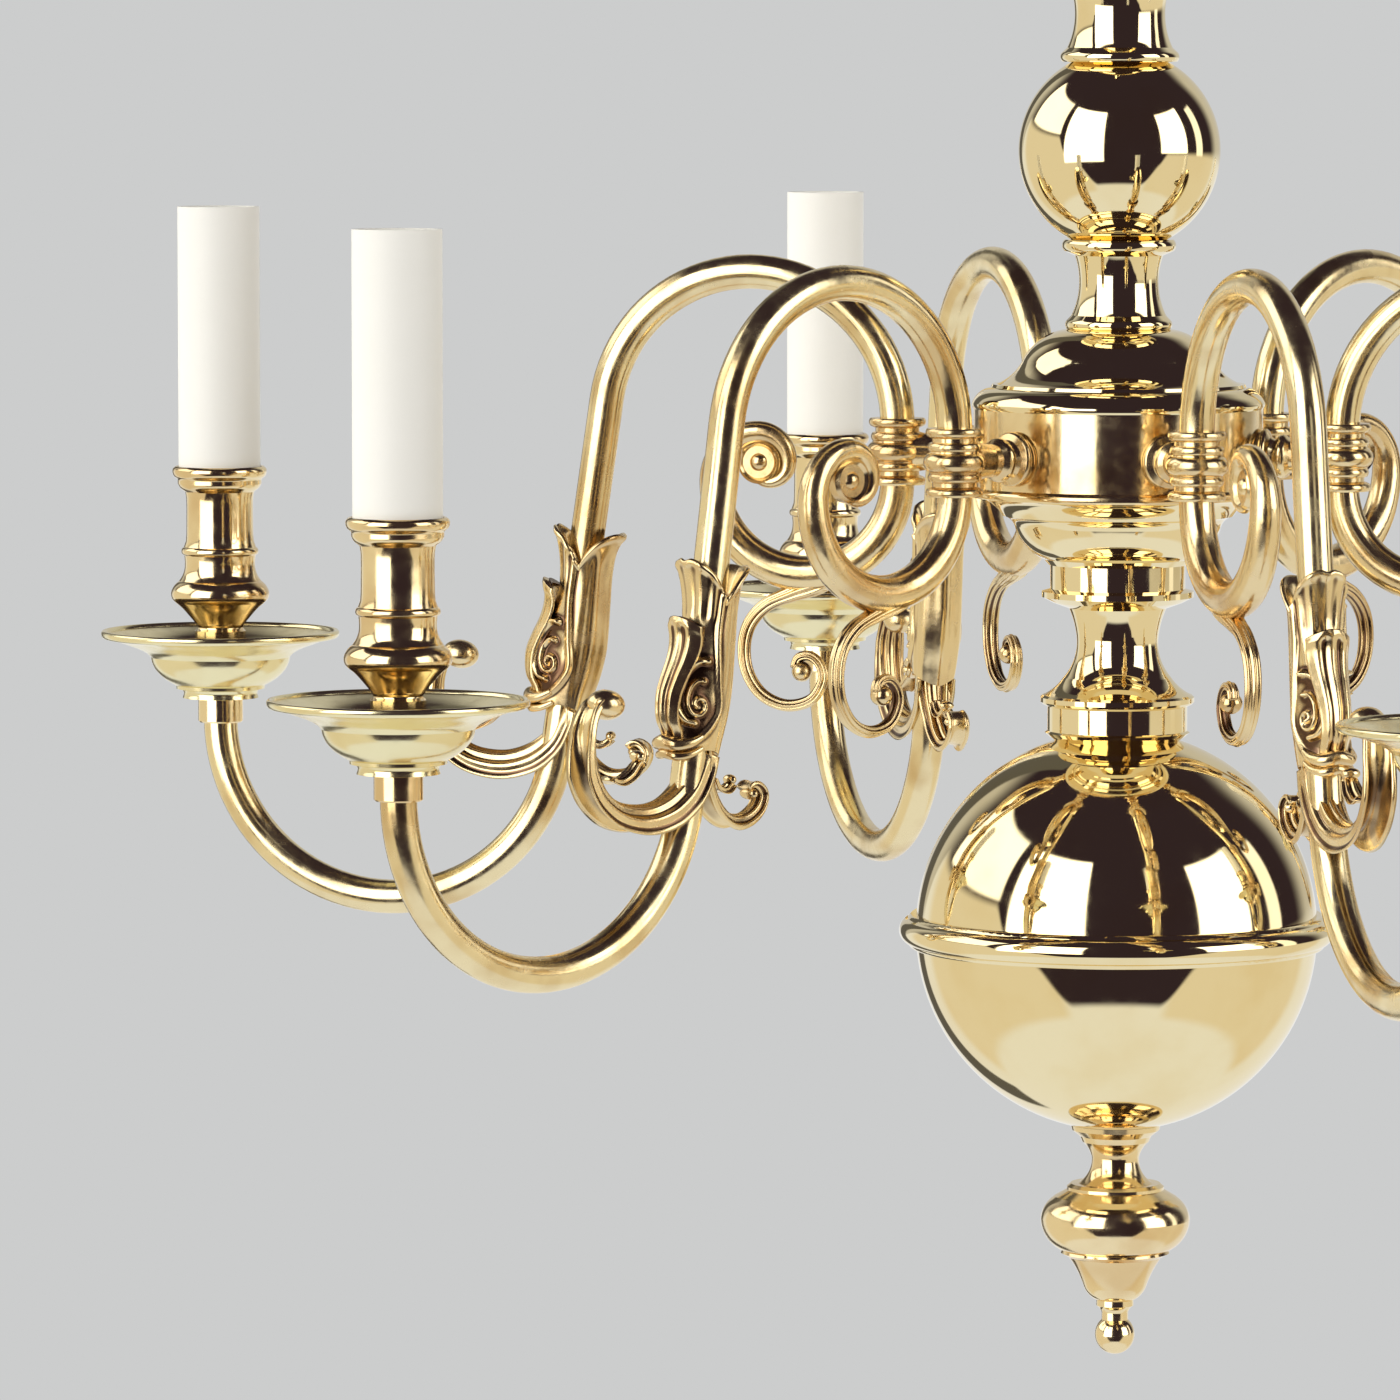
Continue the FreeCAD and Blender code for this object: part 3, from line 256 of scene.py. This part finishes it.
def plain(name, colour, shade, rough, grain):
    """Moulded plastic or card: a faint mottle and a fine grain."""
    material, tree, shader, place = new_material(name)
    mottle = noise(tree, place, MOTTLE_SCALE)
    tree.links.new(blend(tree, mottle, colour, shade), shader.inputs["Base Color"])
    bump = add(tree, "ShaderNodeBump", grain, BUMP_DEPTH, None,
               noise(tree, place, GRAIN_SCALE, 2.0))
    tree.links.new(bump, shader.inputs["Normal"])
    shader.inputs["Roughness"].default_value = rough
    return material


materials = {
    "polished_brass": brass("polished_brass", (0.88, 0.74, 0.44, 1), (0.85, 0.69, 0.38, 1),
                            0.03, 0.05, 0.03, 55.0),
    "buffed_brass": brass("buffed_brass", (0.88, 0.71, 0.41, 1), (0.75, 0.54, 0.27, 1),
                          0.10, 0.12, 0.07, 120.0),
    "spun_brass": brass("spun_brass", (0.87, 0.77, 0.46, 1), (0.82, 0.69, 0.38, 1),
                        0.15, 0.10, 0.05, 90.0),
    "satin_brass": brass("satin_brass", (0.86, 0.71, 0.41, 1), (0.66, 0.47, 0.22, 1),
                         0.16, 0.14, 0.09, 150.0),
    # the last colour is the painted shade in the casting's hollows
    "cast_brass": brass("cast_brass", (0.82, 0.64, 0.35, 1), (0.62, 0.43, 0.21, 1),
                        0.17, 0.14, 0.10, 220.0, (0.09, 0.04, 0.025, 1)),
    "sleeve_ivory": plain("sleeve_ivory", (0.95, 0.94, 0.89, 1), (0.93, 0.92, 0.86, 1), 0.5, 0.1),
    "lampholder_plastic": plain("lampholder_plastic", (0.80, 0.78, 0.70, 1),
                                (0.76, 0.74, 0.66, 1), 0.4, 0.05),
    "bush_plastic": plain("bush_plastic", (0.05, 0.04, 0.03, 1), (0.04, 0.03, 0.03, 1), 0.4, 0.1),
    "wire_cover": plain("wire_cover", (0.60, 0.45, 0.18, 1), (0.55, 0.40, 0.15, 1), 0.3, 0.02),
    "terminal_plastic": plain("terminal_plastic", (0.85, 0.85, 0.82, 1),
                              (0.80, 0.80, 0.77, 1), 0.45, 0.05),
    "plated_steel": brass("plated_steel", (0.62, 0.62, 0.60, 1), (0.54, 0.54, 0.52, 1),
                          0.22, 0.1, 0.05, 200.0)}
# turned pieces that were buffed and not mirror polished
BUFFED = ("hub_drum", "bottom_spool", "bottom_bun", "bell_finial", "arm_ferrules")
slot_of = {part["node"]: part["material_slot"] for part in frame["record"]["subparts"]}
for node_name, node in frame["nodes"].items():
    finish = "buffed_brass" if node_name in BUFFED else slot_of[node_name]
    node.data.materials.clear()
    node.data.materials.append(materials[finish])


# ---------------------------------------------------------------- leaf castings
# Millimetres in the casting's own frame: the first axis outward from the limb, the second across
# it and the third up the limb.
LIMB_LEAN = radians(8.4)
LEAF_RADIUS = 181.2                 # where the casting's own origin stands on the limb
LEAF_LEVEL = -299.4
BODY_CENTRE = -2.0                  # the body stands a little inward of the limb
BODY_FRONT = [(-6, 6.4), (-3, 8.5), (-1, 9.6), (3, 9.2), (6, 10.9), (10, 12.0), (14.5, 12.2),
              (19.6, 11.0), (25, 9.2), (30, 7.6), (34, 6.6), (38, 6.2), (60, 6.0)]
BODY_BACK = [(-6, 7.6), (0, 8.6), (3, 9.1), (9, 10.4), (15, 11.1), (21, 11.2), (33, 10.3),
             (44, 9.5), (60, 9.4)]
BODY_HALF = [(-6, 6.4), (0, 7.3), (6, 7.8), (14, 8.1), (36, 7.9), (60, 7.8)]
TONGUE_FRONT = [(-2, 8.0), (3.0, 10.2), (6, 12.4), (9.5, 13.5), (14.5, 13.8), (19.6, 12.6),
                (24.8, 10.9), (28.6, 10.2), (32, 10.2), (34.5, 10.8), (36.6, 11.9), (38.4, 12.0)]
TONGUE_HALF = [(-2, 4.2), (6, 4.5), (12, 4.8), (19, 5.4), (25, 6.0), (31, 6.5), (38.4, 7.0)]
TONGUE_FOOT = -2.0
TONGUE_TOP = 38.2
TONGUE_BEND = 9.6                   # the radius that the tongue is bent to, across it
NOTCH = radians(80)                 # the notch between the petals, round from the front
NOTCH_LEVEL = 44.8
FRONT_PETAL = 10.8                  # how far each petal rises above the notch
BACK_PETAL = 11.4
FRONT_FLARE = 5.4
BACK_FLARE = 3.0
PETAL_WALL = 1.3
SLEEVE_BORE = 5.0
SEAM = [(0.7, 45.4), (0.9, 33.4), (-0.5, 21.3), (-2.0, 12.2), (-0.3, 7.0), (2.8, 2.9), (6.5, 0.4)]
OUTER_RIB = [(3.6, 25.6), (6.4, 24.9), (9.2, 21.6), (10.9, 16.4), (10.9, 11.2), (8.6, 7.4),
             (5.6, 6.6)]
INNER_RIB = [(4.2, 19.4), (6.2, 19.3), (8.1, 16.6), (8.5, 12.6), (7.0, 9.6), (4.5, 9.2),
             (3.0, 11.2), (3.7, 13.6), (5.6, 14.0), (6.4, 12.4), (5.4, 11.4)]
OUT_PATH = [(1.5, -1.0), (2.9, -6.8), (5.3, -12.1), (10.3, -16.6), (17.4, -19.6), (26.3, -19.9),
            (33.0, -17.0), (37.3, -12.0), (40.2, -5.0), (40.8, 1.0), (39.6, 6.0), (36.5, 9.0)]
IN_PATH = [(-5.0, 0.0), (-6.6, -7.0), (-9.5, -12.5), (-13.5, -17.0), (-18.3, -19.4),
           (-23.0, -18.8), (-27.0, -16.0), (-28.2, -12.6), (-26.0, -10.8), (-24.2, -12.2)]
SMALL_OUT_PATH = [(32.5, -12.0), (29.0, -12.6), (25.5, -10.6), (22.6, -7.2), (21.0, -5.4)]
SMALL_IN_PATH = [(-9.5, -8.5), (-12.0, -11.0), (-14.6, -11.2), (-16.6, -9.2)]
# Each spray: its path; its half width, depth and wall at shares of its length; how many ribs, the
# side of its bend that it opens to, and how many steps it is made in.
SPRAYS = [
    (OUT_PATH, [(0, 6.6), (0.3, 5.6), (0.55, 4.8), (0.85, 4.6), (1, 3.4)],
     [(0, 7.5), (0.25, 9.0), (0.4, 8.5), (0.55, 7.5), (0.7, 7.0), (0.82, 4.5), (1, 3.5)],
     [(0, 2.0), (0.5, 1.8), (0.8, 2.0), (0.95, 2.6), (1, 2.0)], 12, -1.0, 120),
    (IN_PATH, [(0, 6.4), (0.3, 5.2), (0.6, 4.2), (1, 3.2)],
     [(0, 3.2), (0.25, 4.4), (0.6, 4.4), (0.85, 3.0), (1, 2.2)],
     [(0, 1.8), (0.7, 1.8), (0.9, 2.4), (1, 1.8)], 10, 1.0, 120),
    (SMALL_OUT_PATH, [(0, 3.6), (0.6, 3.2), (1, 2.2)], [(0, 1.8), (0.6, 2.2), (1, 2.4)],
     [(0, 1.6), (1, 1.9)], 8, 1.0, 50),
    (SMALL_IN_PATH, [(0, 3.2), (0.6, 2.8), (1, 2.0)], [(0, 1.6), (0.6, 2.0), (1, 2.2)],
     [(0, 1.4), (1, 1.7)], 8, 1.0, 45)]
# the bead at each spray's end: its place and its half sizes
KNOBS = [((36.4, 0, 9.0), (6.0, 5.5, 4.6)), ((-25.4, 0, -12.4), (2.0, 3.6, 1.9)),
         ((21.6, 0, -5.2), (1.9, 2.9, 1.8)), ((-16.9, 0, -8.9), (1.6, 2.5, 1.6))]
# the girdle round the casting's foot, and how thick it is along its length
GIRDLE = [(2.8, 7.3, 2.9), (6.6, 6.4, 0.6), (9.8, 4.3, -0.4), (10.9, 2.0, -0.2), (11.1, 0, 0.2),
          (10.9, -2.0, -0.2), (9.8, -4.3, -0.4), (6.6, -6.4, 0.6), (2.8, -7.3, 2.9)]
GIRDLE_SIZE = [(0, 1.0), (0.3, 1.9), (0.5, 2.5), (0.7, 1.9), (1, 1.0)]
LOWER_GIRDLE_SIZE = [(0, 0.8), (0.3, 1.3), (0.5, 1.7), (0.7, 1.3), (1, 0.8)]


def curve(points, steps):
    """A smooth line through some points, as an array of evenly spaced ones."""
    knots = np.array(points, float)
    ends = np.vstack([2 * knots[0] - knots[1], knots, 2 * knots[-1] - knots[-2]])
    pieces = []
    for first in range(len(knots) - 1):
        before, start, end, after = ends[first:first + 4]
        share = np.linspace(0, 1, 16, endpoint=False)[:, None]
        pieces.append(0.5 * (2 * start + (end - before) * share
                             + (2 * before - 5 * start + 4 * end - after) * share ** 2
                             + (3 * start - before - 3 * end + after) * share ** 3))
    line = np.vstack(pieces + [knots[-1:]])
    reach = np.concatenate([[0], np.cumsum(np.linalg.norm(np.diff(line, axis=0), axis=1))])
    even = np.linspace(0, reach[-1], steps)
    return np.column_stack([np.interp(even, reach, column) for column in line.T])


def table(points, value):
    line = curve(points, 120)
    return np.interp(value, line[:, 0], line[:, 1])


def step(value, low, high):
    share = np.clip((value - low) / (high - low), 0, 1)
    return share * share * (3 - 2 * share)


def bump_along(line, across, up, width):
    """A rounded ridge of height one along a line."""
    here = np.column_stack([across.ravel(), up.ravel()])
    gap = np.full(len(here), 1e9)
    for point in line:
        np.minimum(gap, np.hypot(*(here - point).T), out=gap)
    share = np.clip(gap.reshape(across.shape) / width, 0, 1)
    return (1 - share ** 2) ** 2


def lattice(grid):
    """Vertices and quads of a grid of points; each row closes on itself."""
    rows, columns = grid.shape[:2]
    index = np.arange(rows * columns).reshape(rows, columns)
    ahead = np.roll(index, -1, axis=1)
    quads = np.stack([index[:-1], ahead[:-1], ahead[1:], index[1:]], axis=-1)
    return grid.reshape(-1, 3), quads.reshape(-1, 4)


def capped(grid):
    """The same, with each end of the grid drawn together to a point."""
    ends = [np.repeat(row.mean(axis=0)[None, None], grid.shape[1], axis=1)
            for row in (grid[0], grid[-1])]
    return lattice(np.concatenate([ends[0], grid, ends[1]]))


def petal_tops(side):
    """Where the sleeve ends above, at each angle round from its front."""
    front = np.cos(np.clip(side / NOTCH, 0, 1) * pi / 2)
    back = np.clip((side - NOTCH) / (pi - NOTCH), 0, 1)
    tip_dip = 0.9 * np.exp(-(side / 0.12) ** 2)
    top = np.where(side < NOTCH, NOTCH_LEVEL + FRONT_PETAL * front ** 0.95 - tip_dip,
                   NOTCH_LEVEL + BACK_PETAL * (1 - (1 - back) ** 2.6) - 1.0 * back ** 4)
    return front, back, top


def petal_flare(side, front, back, below):
    """How far the petals' rims lean out, and the rolled edge just under them."""
    flare = np.where(side < NOTCH, FRONT_FLARE * front ** 1.4 * np.exp(-(below / 9) ** 1.2),
                     BACK_FLARE * back ** 0.5 * np.exp(-(below / 5) ** 1.4))
    flare += 0.5 * np.exp(-((below - 0.9) / 1.0) ** 2)
    return flare


def body_relief(turn, side, across, up):
    """The scrolls, ribs and flutes that stand out from the sleeve."""
    in_front = step(np.cos(turn), -0.15, 0.1)
    hollow = np.exp(-(((across - 6.5) / 5.2) ** 2 + ((up - 15.5) / 10.5) ** 2) ** 2)
    relief = -0.9 * hollow * in_front
    relief = relief + 1.1 * bump_along(curve(SEAM, 160), across, up, 1.5)
    relief += in_front * 1.7 * bump_along(curve(OUTER_RIB, 90), across, up, 1.5)
    relief += in_front * 1.5 * bump_along(curve(INNER_RIB, 120), across, up, 1.05)
    for place, size in [(OUTER_RIB[0], 1.9), (INNER_RIB[0], 1.5), (INNER_RIB[-1], 1.2)]:
        relief += in_front * 0.8 * bump_along(np.array([place]), across, up, size)
    flutes = step(side, radians(98), radians(112)) * (1 - step(up, 44, 52))
    relief += flutes * 0.30 * np.cos((side - pi) * 6.5)
    crease = np.exp(-(turn / 0.13) ** 2) * step(up, 36, 42)
    relief += -0.55 * crease + 0.25 * np.cos(turn * 14) * step(up, 36, 40) * (side < 1.1)
    return relief


def leaf_body():
    """The sleeve round the limb: two flared petals above, fluted behind, scrolls at each side."""
    turn = np.linspace(-pi, pi, 176, endpoint=False)[None]
    share = np.linspace(0, 1, 150)[:, None]
    side = np.abs(turn)
    front, back, top = petal_tops(side)
    foot = -1.0 - 3.0 * np.cos(turn) ** 2
    up = foot + (top - foot) * share
    below = np.maximum(top - up, 0)
    reach = np.where(np.cos(turn) > 0, table(BODY_FRONT, up) - BODY_CENTRE,
                     table(BODY_BACK, up) + BODY_CENTRE)
    half = table(BODY_HALF, up)
    across = BODY_CENTRE + reach * np.cos(turn)
    flare = petal_flare(side, front, back, below)
    relief = body_relief(turn, side, across, up)
    size = np.hypot(np.cos(turn) / reach, np.sin(turn) / half)
    lean = np.stack([np.cos(turn) / reach / size, np.sin(turn) / half / size])
    outer = np.stack([across + lean[0] * (relief + flare),
                      half * np.sin(turn) + lean[1] * (relief + flare),
                      np.broadcast_to(up, across.shape)], axis=-1)
    # inside, the petals are a thin wall, and below them the sleeve closes round the limb
    free = step(up, 40, 46)
    round_limb = SLEEVE_BORE * (1 - free)
    inner = np.stack([(across + lean[0] * (flare - PETAL_WALL)) * free + round_limb * np.cos(turn),
                      (half * np.sin(turn) + lean[1] * (flare - PETAL_WALL)) * free
                      + round_limb * np.sin(turn), outer[..., 2] - 0.1], axis=-1)
    lip = (outer[-1:] + inner[-1:]) / 2 + np.array([0, 0, 0.55])
    every = 6                       # the inside is smooth, so it needs fewer rows
    loop = np.concatenate([outer, lip, inner[::-every], outer[:1]])
    return lattice(loop)


def leaf_tongue():
    """The lobe that lies over the front of the body and ends above in a curled lip."""
    up = np.linspace(TONGUE_FOOT, TONGUE_TOP, 110)[:, None]
    around = np.linspace(-pi, pi, 80, endpoint=False)[None]
    outside = np.cos(around) >= 0
    share = np.sin(around)
    rounding = np.sqrt(np.abs(np.cos(around)))
    half = table(TONGUE_HALF, up)
    edge = half * share
    wrap = np.sqrt(1 - (edge / TONGUE_BEND) ** 2)
    bend = BODY_CENTRE + (table(TONGUE_FRONT, up) - BODY_CENTRE) * wrap
    thick = 1.5 * rounding * np.where(outside, 0.5, -1.4)
    flutes = (0.5 * np.cos(share * pi * 3.0) * outside * rounding
              * step(TONGUE_TOP - up, 0.6, 3.5))
    drop = 2.6 * share ** 2 * step(up, 20, 38)
    thick = thick * (0.7 + 0.3 * step(TONGUE_TOP - up, 0, 2.0)) * np.ones_like(up)
    grid = np.stack([bend + thick + flutes, edge * np.ones_like(up),
                     up - drop + 0 * around], axis=-1)
    return capped(grid)


def sweep(line, sections):
    """Carries cross-sections along a line in space whose cross direction stays level."""
    ahead = np.gradient(line, axis=0)
    ahead /= np.linalg.norm(ahead, axis=1, keepdims=True)
    level = np.array([0.0, 1.0, 0.0])
    normal = np.cross(ahead, level)
    normal /= np.linalg.norm(normal, axis=1, keepdims=True)
    sideways = np.cross(normal, ahead)
    return capped(line[:, None] + sideways[:, None] * sections[..., :1]
                  + normal[:, None] * sections[..., 1:])


def trough(path, half, depth, wall, ribs, turn, steps):
    """A spray of the leaf: a ribbed trough along a path."""
    line = curve([(across, 0.0, up) for across, up in path], steps)
    along = np.linspace(0, 1, steps)[:, None]
    half, depth, wall = (np.interp(along, *zip(*values)) for values in (half, depth, wall))
    around = np.linspace(0, 2 * pi, 72, endpoint=False)[None]
    outside = np.sin(around) >= 0
    arch = np.abs(np.sin(around))
    edge = np.where(outside, half * np.cos(around), (half - wall * 0.5) * np.cos(around))
    rise = np.where(outside, depth * (1 - arch), depth - (depth - wall) * arch)
    grow = 0.45 * np.cos(ribs * (around - pi / 2)) * outside
    fade = np.minimum(step(along, 0, 0.08), step(1 - along, 0, 0.08))
    edge = edge + grow * fade * np.cos(around)
    rise = rise - grow * fade * arch
    return sweep(line, np.stack([edge, turn * rise], axis=-1))


def knob(place, sizes):
    """An egg-shaped bead."""
    up = np.linspace(-pi / 2, pi / 2, 22)[1:-1, None]
    around = np.linspace(0, 2 * pi, 36, endpoint=False)[None]
    ball = np.stack([np.cos(up) * np.cos(around), np.cos(up) * np.sin(around),
                     np.sin(up) * np.ones_like(around)], axis=-1)
    return capped(np.array(place) + ball * np.array(sizes))


def leaf_parts():
    """Every piece of one casting."""
    lower_girdle = [(x - 0.9, y * 0.94, z - 3.4) for x, y, z in GIRDLE]
    return [leaf_body(), leaf_tongue(), hoop(GIRDLE, GIRDLE_SIZE),
            hoop(lower_girdle, LOWER_GIRDLE_SIZE), *(trough(*spray) for spray in SPRAYS),
            *(knob(*bead) for bead in KNOBS)]


def hoop(points, radius, steps=90):
    """A round band along a line in space."""
    line = curve(points, steps)
    along = np.linspace(0, 1, steps)[:, None]
    size = np.interp(along, *zip(*radius))
    ahead = np.gradient(line, axis=0)
    ahead /= np.linalg.norm(ahead, axis=1, keepdims=True)
    lift = np.array([0.0, 0.0, 1.0]) - ahead * ahead[:, 2:]
    lift /= np.linalg.norm(lift, axis=1, keepdims=True)
    outward = np.cross(ahead, lift)
    around = np.linspace(0, 2 * pi, 28, endpoint=False)[None, :, None]
    return capped(line[:, None] + size[..., None] * (outward[:, None] * np.cos(around)
                                                     + lift[:, None] * np.sin(around)))


def faced_out(points, quads):
    """The quads of a closed piece, turned over if they face into it."""
    corners = points[quads]
    across = np.cross(corners[:, 2] - corners[:, 0], corners[:, 3] - corners[:, 1])
    inside_out = (across * corners.mean(axis=1)).sum() < 0
    return quads[:, ::-1] if inside_out else quads


def join(parts):
    """One mesh, in metres, from several lists of vertices and quads given in millimetres."""
    counts = np.cumsum([0] + [len(points) for points, quads in parts])
    points = np.concatenate([points for points, quads in parts]) * 0.001
    quads = np.concatenate([faced_out(*part) + first for first, part in zip(counts, parts)])
    return points, quads


FULL_SHADE_DEPTH = 0.25                         # millimetres: a hollow this deep gets the darkest painted shade


def recess_depth(points, quads, passes=30):
    """How far each vertex lies below a smoothed copy of its surface, in metres."""
    pairs = np.concatenate([quads[:, [0, 1]], quads[:, [1, 2]], quads[:, [2, 3]], quads[:, [3, 0]]])
    pairs = pairs[pairs[:, 0] != pairs[:, 1]]
    count = np.bincount(pairs.ravel(), minlength=len(points))[:, None]
    smooth = points.copy()
    for _ in range(passes):
        total = np.stack([np.bincount(pairs[:, 0], smooth[pairs[:, 1], axis], len(points))
                          + np.bincount(pairs[:, 1], smooth[pairs[:, 0], axis], len(points))
                          for axis in range(3)], axis=1)
        smooth = total / np.maximum(count, 1)
    return smooth - points


def make_mesh(name, points, quads, material):
    """A smooth mesh with its depth below a smoothed copy kept as an attribute, for the painted
    shade in the hollows.
    """
    mesh = bpy.data.meshes.new(name)
    mesh.from_pydata(points.tolist(), [], quads.tolist())
    mesh.validate()
    mesh.shade_smooth()
    mesh.materials.append(material)
    shift = recess_depth(points, quads)
    normals = np.zeros(len(mesh.vertices) * 3)
    mesh.vertices.foreach_get("normal", normals)
    # painted shade: the depth along the normal sets how dark the hollows are painted
    depth = (shift * normals.reshape(-1, 3)).sum(axis=1)
    recess_shade = mesh.attributes.new("recess_shade", "FLOAT", "POINT")
    recess_shade.data.foreach_set("value", np.clip(depth * 1000 / FULL_SHADE_DEPTH, -1, 1))
    return mesh


def at_arm(points, arm, radius=0.0, level=0.0, lean=0.0):
    """Turns points from a plane through the column to where the arm stands, in metres."""
    leaned = points @ np.array([[cos(lean), 0, sin(lean)], [0, 1, 0], [-sin(lean), 0, cos(lean)]])
    leaned = leaned + np.array([radius, 0, level])
    turn = radians(ARM_TURNS[arm])
    return leaned @ np.array([[cos(turn), sin(turn), 0], [-sin(turn), cos(turn), 0], [0, 0, 1]])


def dress(name, points, quads, node, slot, material=None):
    """Adds a piece that stands in for a CAD node, hides the node and attaches the piece to the
    fixture body.
    """
    mesh = make_mesh(name, points, quads, materials[material or slot])
    piece = bpy.data.objects.new(name, mesh)
    bpy.context.scene.collection.objects.link(piece)
    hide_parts(node)
    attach(piece, "fixture")
    return piece


# the tendril's line, in millimetres from the column's axis, and its half width along it
TENDRIL = [(91.0, 0, -254.0), (96.5, 0, -260.0), (105.5, 0, -263.6), (114.0, 0, -267.4),
           (119.6, 0, -273.4), (121.6, 0, -281.0), (120.4, 0, -289.4), (115.5, 0, -296.4),
           (107.6, 0, -299.6), (99.6, 0, -297.6), (95.8, 0, -291.6), (96.6, 0, -286.4),
           (100.0, 0, -283.6), (103.8, 0, -284.4), (105.0, 0, -287.6)]
TENDRIL_SIZE = [(0, 4.8), (0.1, 3.8), (0.22, 2.7), (0.6, 2.3), (1, 1.7)]


def ridged(points, size, ribs, steps=110):
    """A strip along a line with ridges along its length."""
    line = curve(points, steps)
    along = np.linspace(0, 1, steps)[:, None]
    half = np.interp(along, *zip(*size))
    around = np.linspace(0, 2 * pi, 48, endpoint=False)[None]
    swell = 1 + 0.13 * np.cos(ribs * around)
    return sweep(line, np.stack([half * swell * np.cos(around),
                                 0.8 * half * swell * np.sin(around)], axis=-1))


tendril = join([ridged(TENDRIL, TENDRIL_SIZE, 8), knob((102.6, 0, -288.6), (3.3, 3.6, 3.3))])
tendrils = [(at_arm(tendril[0], arm) * 1000, tendril[1]) for arm in ARMS]
tendril_points, tendril_quads = join(tendrils)
dress("tendril_castings", tendril_points, tendril_quads, "arm_tendrils", "cast_brass")

leaf_points, leaf_quads = join(leaf_parts())
for arm in ARMS:
    place = at_arm(leaf_points, arm, LEAF_RADIUS * 0.001, LEAF_LEVEL * 0.001, LIMB_LEAN)
    dress(f"leaf_casting_{arm}", place, leaf_quads, f"arm_leaf_{arm}", "cast_brass")


# ---------------------------------------------------------------- pans and cups
# Half profiles in millimetres, radius and level; each row is one smooth run between sharp edges.
CANDLE_RADIUS = 0.297
CUP = [
    [(14.3, -225.7), (15.1, -226.4), (15.3, -227.5), (14.9, -228.8), (14.1, -229.5)],
    [(14.1, -229.5), (13.5, -230.2), (13.5, -231.4), (12.9, -232.6), (12.0, -233.4), (11.2, -234)],
    [(11.2, -234.0), (10.9, -235.4), (10.8, -240.0), (10.9, -248.5), (11.2, -250.6),
     (11.7, -251.9)],
    [(11.7, -251.9), (12.3, -252.5), (12.5, -253.3), (12.3, -254.1), (11.6, -254.6)],
    [(11.6, -254.6), (11.4, -256.5), (11.5, -259.0), (12.2, -261.2), (13.3, -262.9)],
    [(13.3, -262.9), (14.7, -264.2), (15.7, -265.9), (15.95, -267.3), (15.6, -268.8),
     (14.5, -270.0)],
    [(14.5, -270.0), (12.6, -271.5), (10.8, -273.4), (9.0, -275.5), (7.6, -277.2)],
    [(7.6, -277.2), (7.4, -278.2), (8.2, -279.2)], [(8.2, -279.2), (8.2, -299.6)],
    [(8.2, -299.6), (5.0, -299.6)], [(5.0, -299.6), (5.0, -231.4)], [(5.0, -231.4), (13.6, -231.4)],
    [(13.6, -231.4), (13.6, -225.9)], [(13.6, -225.9), (14.3, -225.7)]]
PAN = [
    [(36.6, -280.1), (37.1, -279.2), (37.9, -278.9), (38.6, -279.6), (38.5, -280.8), (37.7, -281.5),
     (36.6, -281.5)],
    [(36.6, -281.5), (33.9, -282.2), (30.2, -283.5), (26.5, -284.9), (23.9, -286.3),
     (22.6, -287.6)],
    [(22.6, -287.6), (22.2, -289.5), (21.0, -291.9), (18.3, -294.6), (14.4, -296.9)],
    [(14.4, -296.9), (14.3, -297.9)], [(14.3, -297.9), (12.4, -298.3)],
    [(12.4, -298.3), (11.9, -299.4), (12.3, -300.9)], [(12.3, -300.9), (5.2, -300.9)],
    [(5.2, -300.9), (5.2, -299.6)], [(5.2, -299.6), (10.4, -299.6)],
    [(10.4, -299.6), (14.0, -296.0), (17.4, -293.4), (20.0, -290.8), (21.0, -288.4), (22.3, -286.2),
     (26.5, -283.5), (30.2, -282.1), (33.9, -280.9), (36.6, -280.1)]]


def lathe(runs):
    """Turns the runs of a closed half profile about an upright axis, with crisp edges kept."""
    profile = np.concatenate([curve(run, 10 if len(run) > 2 else 3) for run in runs])
    around = np.linspace(0, 2 * pi, 96, endpoint=False)[None]
    radius, level = profile[:, :1], profile[:, 1:]
    return lattice(np.stack([radius * np.cos(around), radius * np.sin(around),
                             level + 0 * around], axis=-1))


for kind, name, runs, finish in [("candle_cup", "cup_turning", CUP, "buffed_brass"),
                                 ("drip_pan", "pan_spinning", PAN, "spun_brass")]:
    points, quads = join([lathe(runs)])
    for arm in ARMS:
        piece = dress(f"{name}_{arm}", at_arm(points, arm, CANDLE_RADIUS), quads,
                      f"{kind}_{arm}", "polished_brass", finish)
        piece.data.set_sharp_from_angle(angle=radians(50))


# ---------------------------------------------------------------- floor
def make_floor():
    """A plain pale disc well below the object; it takes no part in the brass's reflections."""
    radius = 3.6
    drop = 1.2
    mesh = bpy.data.meshes.new("floor")
    steps = 96
    ring = [(radius * cos(2 * pi * turn / steps), radius * sin(2 * pi * turn / steps),
             cad_box[0].z - drop) for turn in range(steps)]
    mesh.from_pydata(ring, [], [range(steps)])
    floor = bpy.data.objects.new("floor", mesh)
    bpy.context.scene.collection.objects.link(floor)
    floor.visible_glossy = False
    floor.visible_diffuse = False
    floor.visible_shadow = False
    mesh.materials.append(plain("floor_paint", (0.80, 0.80, 0.79, 1), (0.77, 0.77, 0.76, 1),
                                0.7, 0.0))


make_floor()
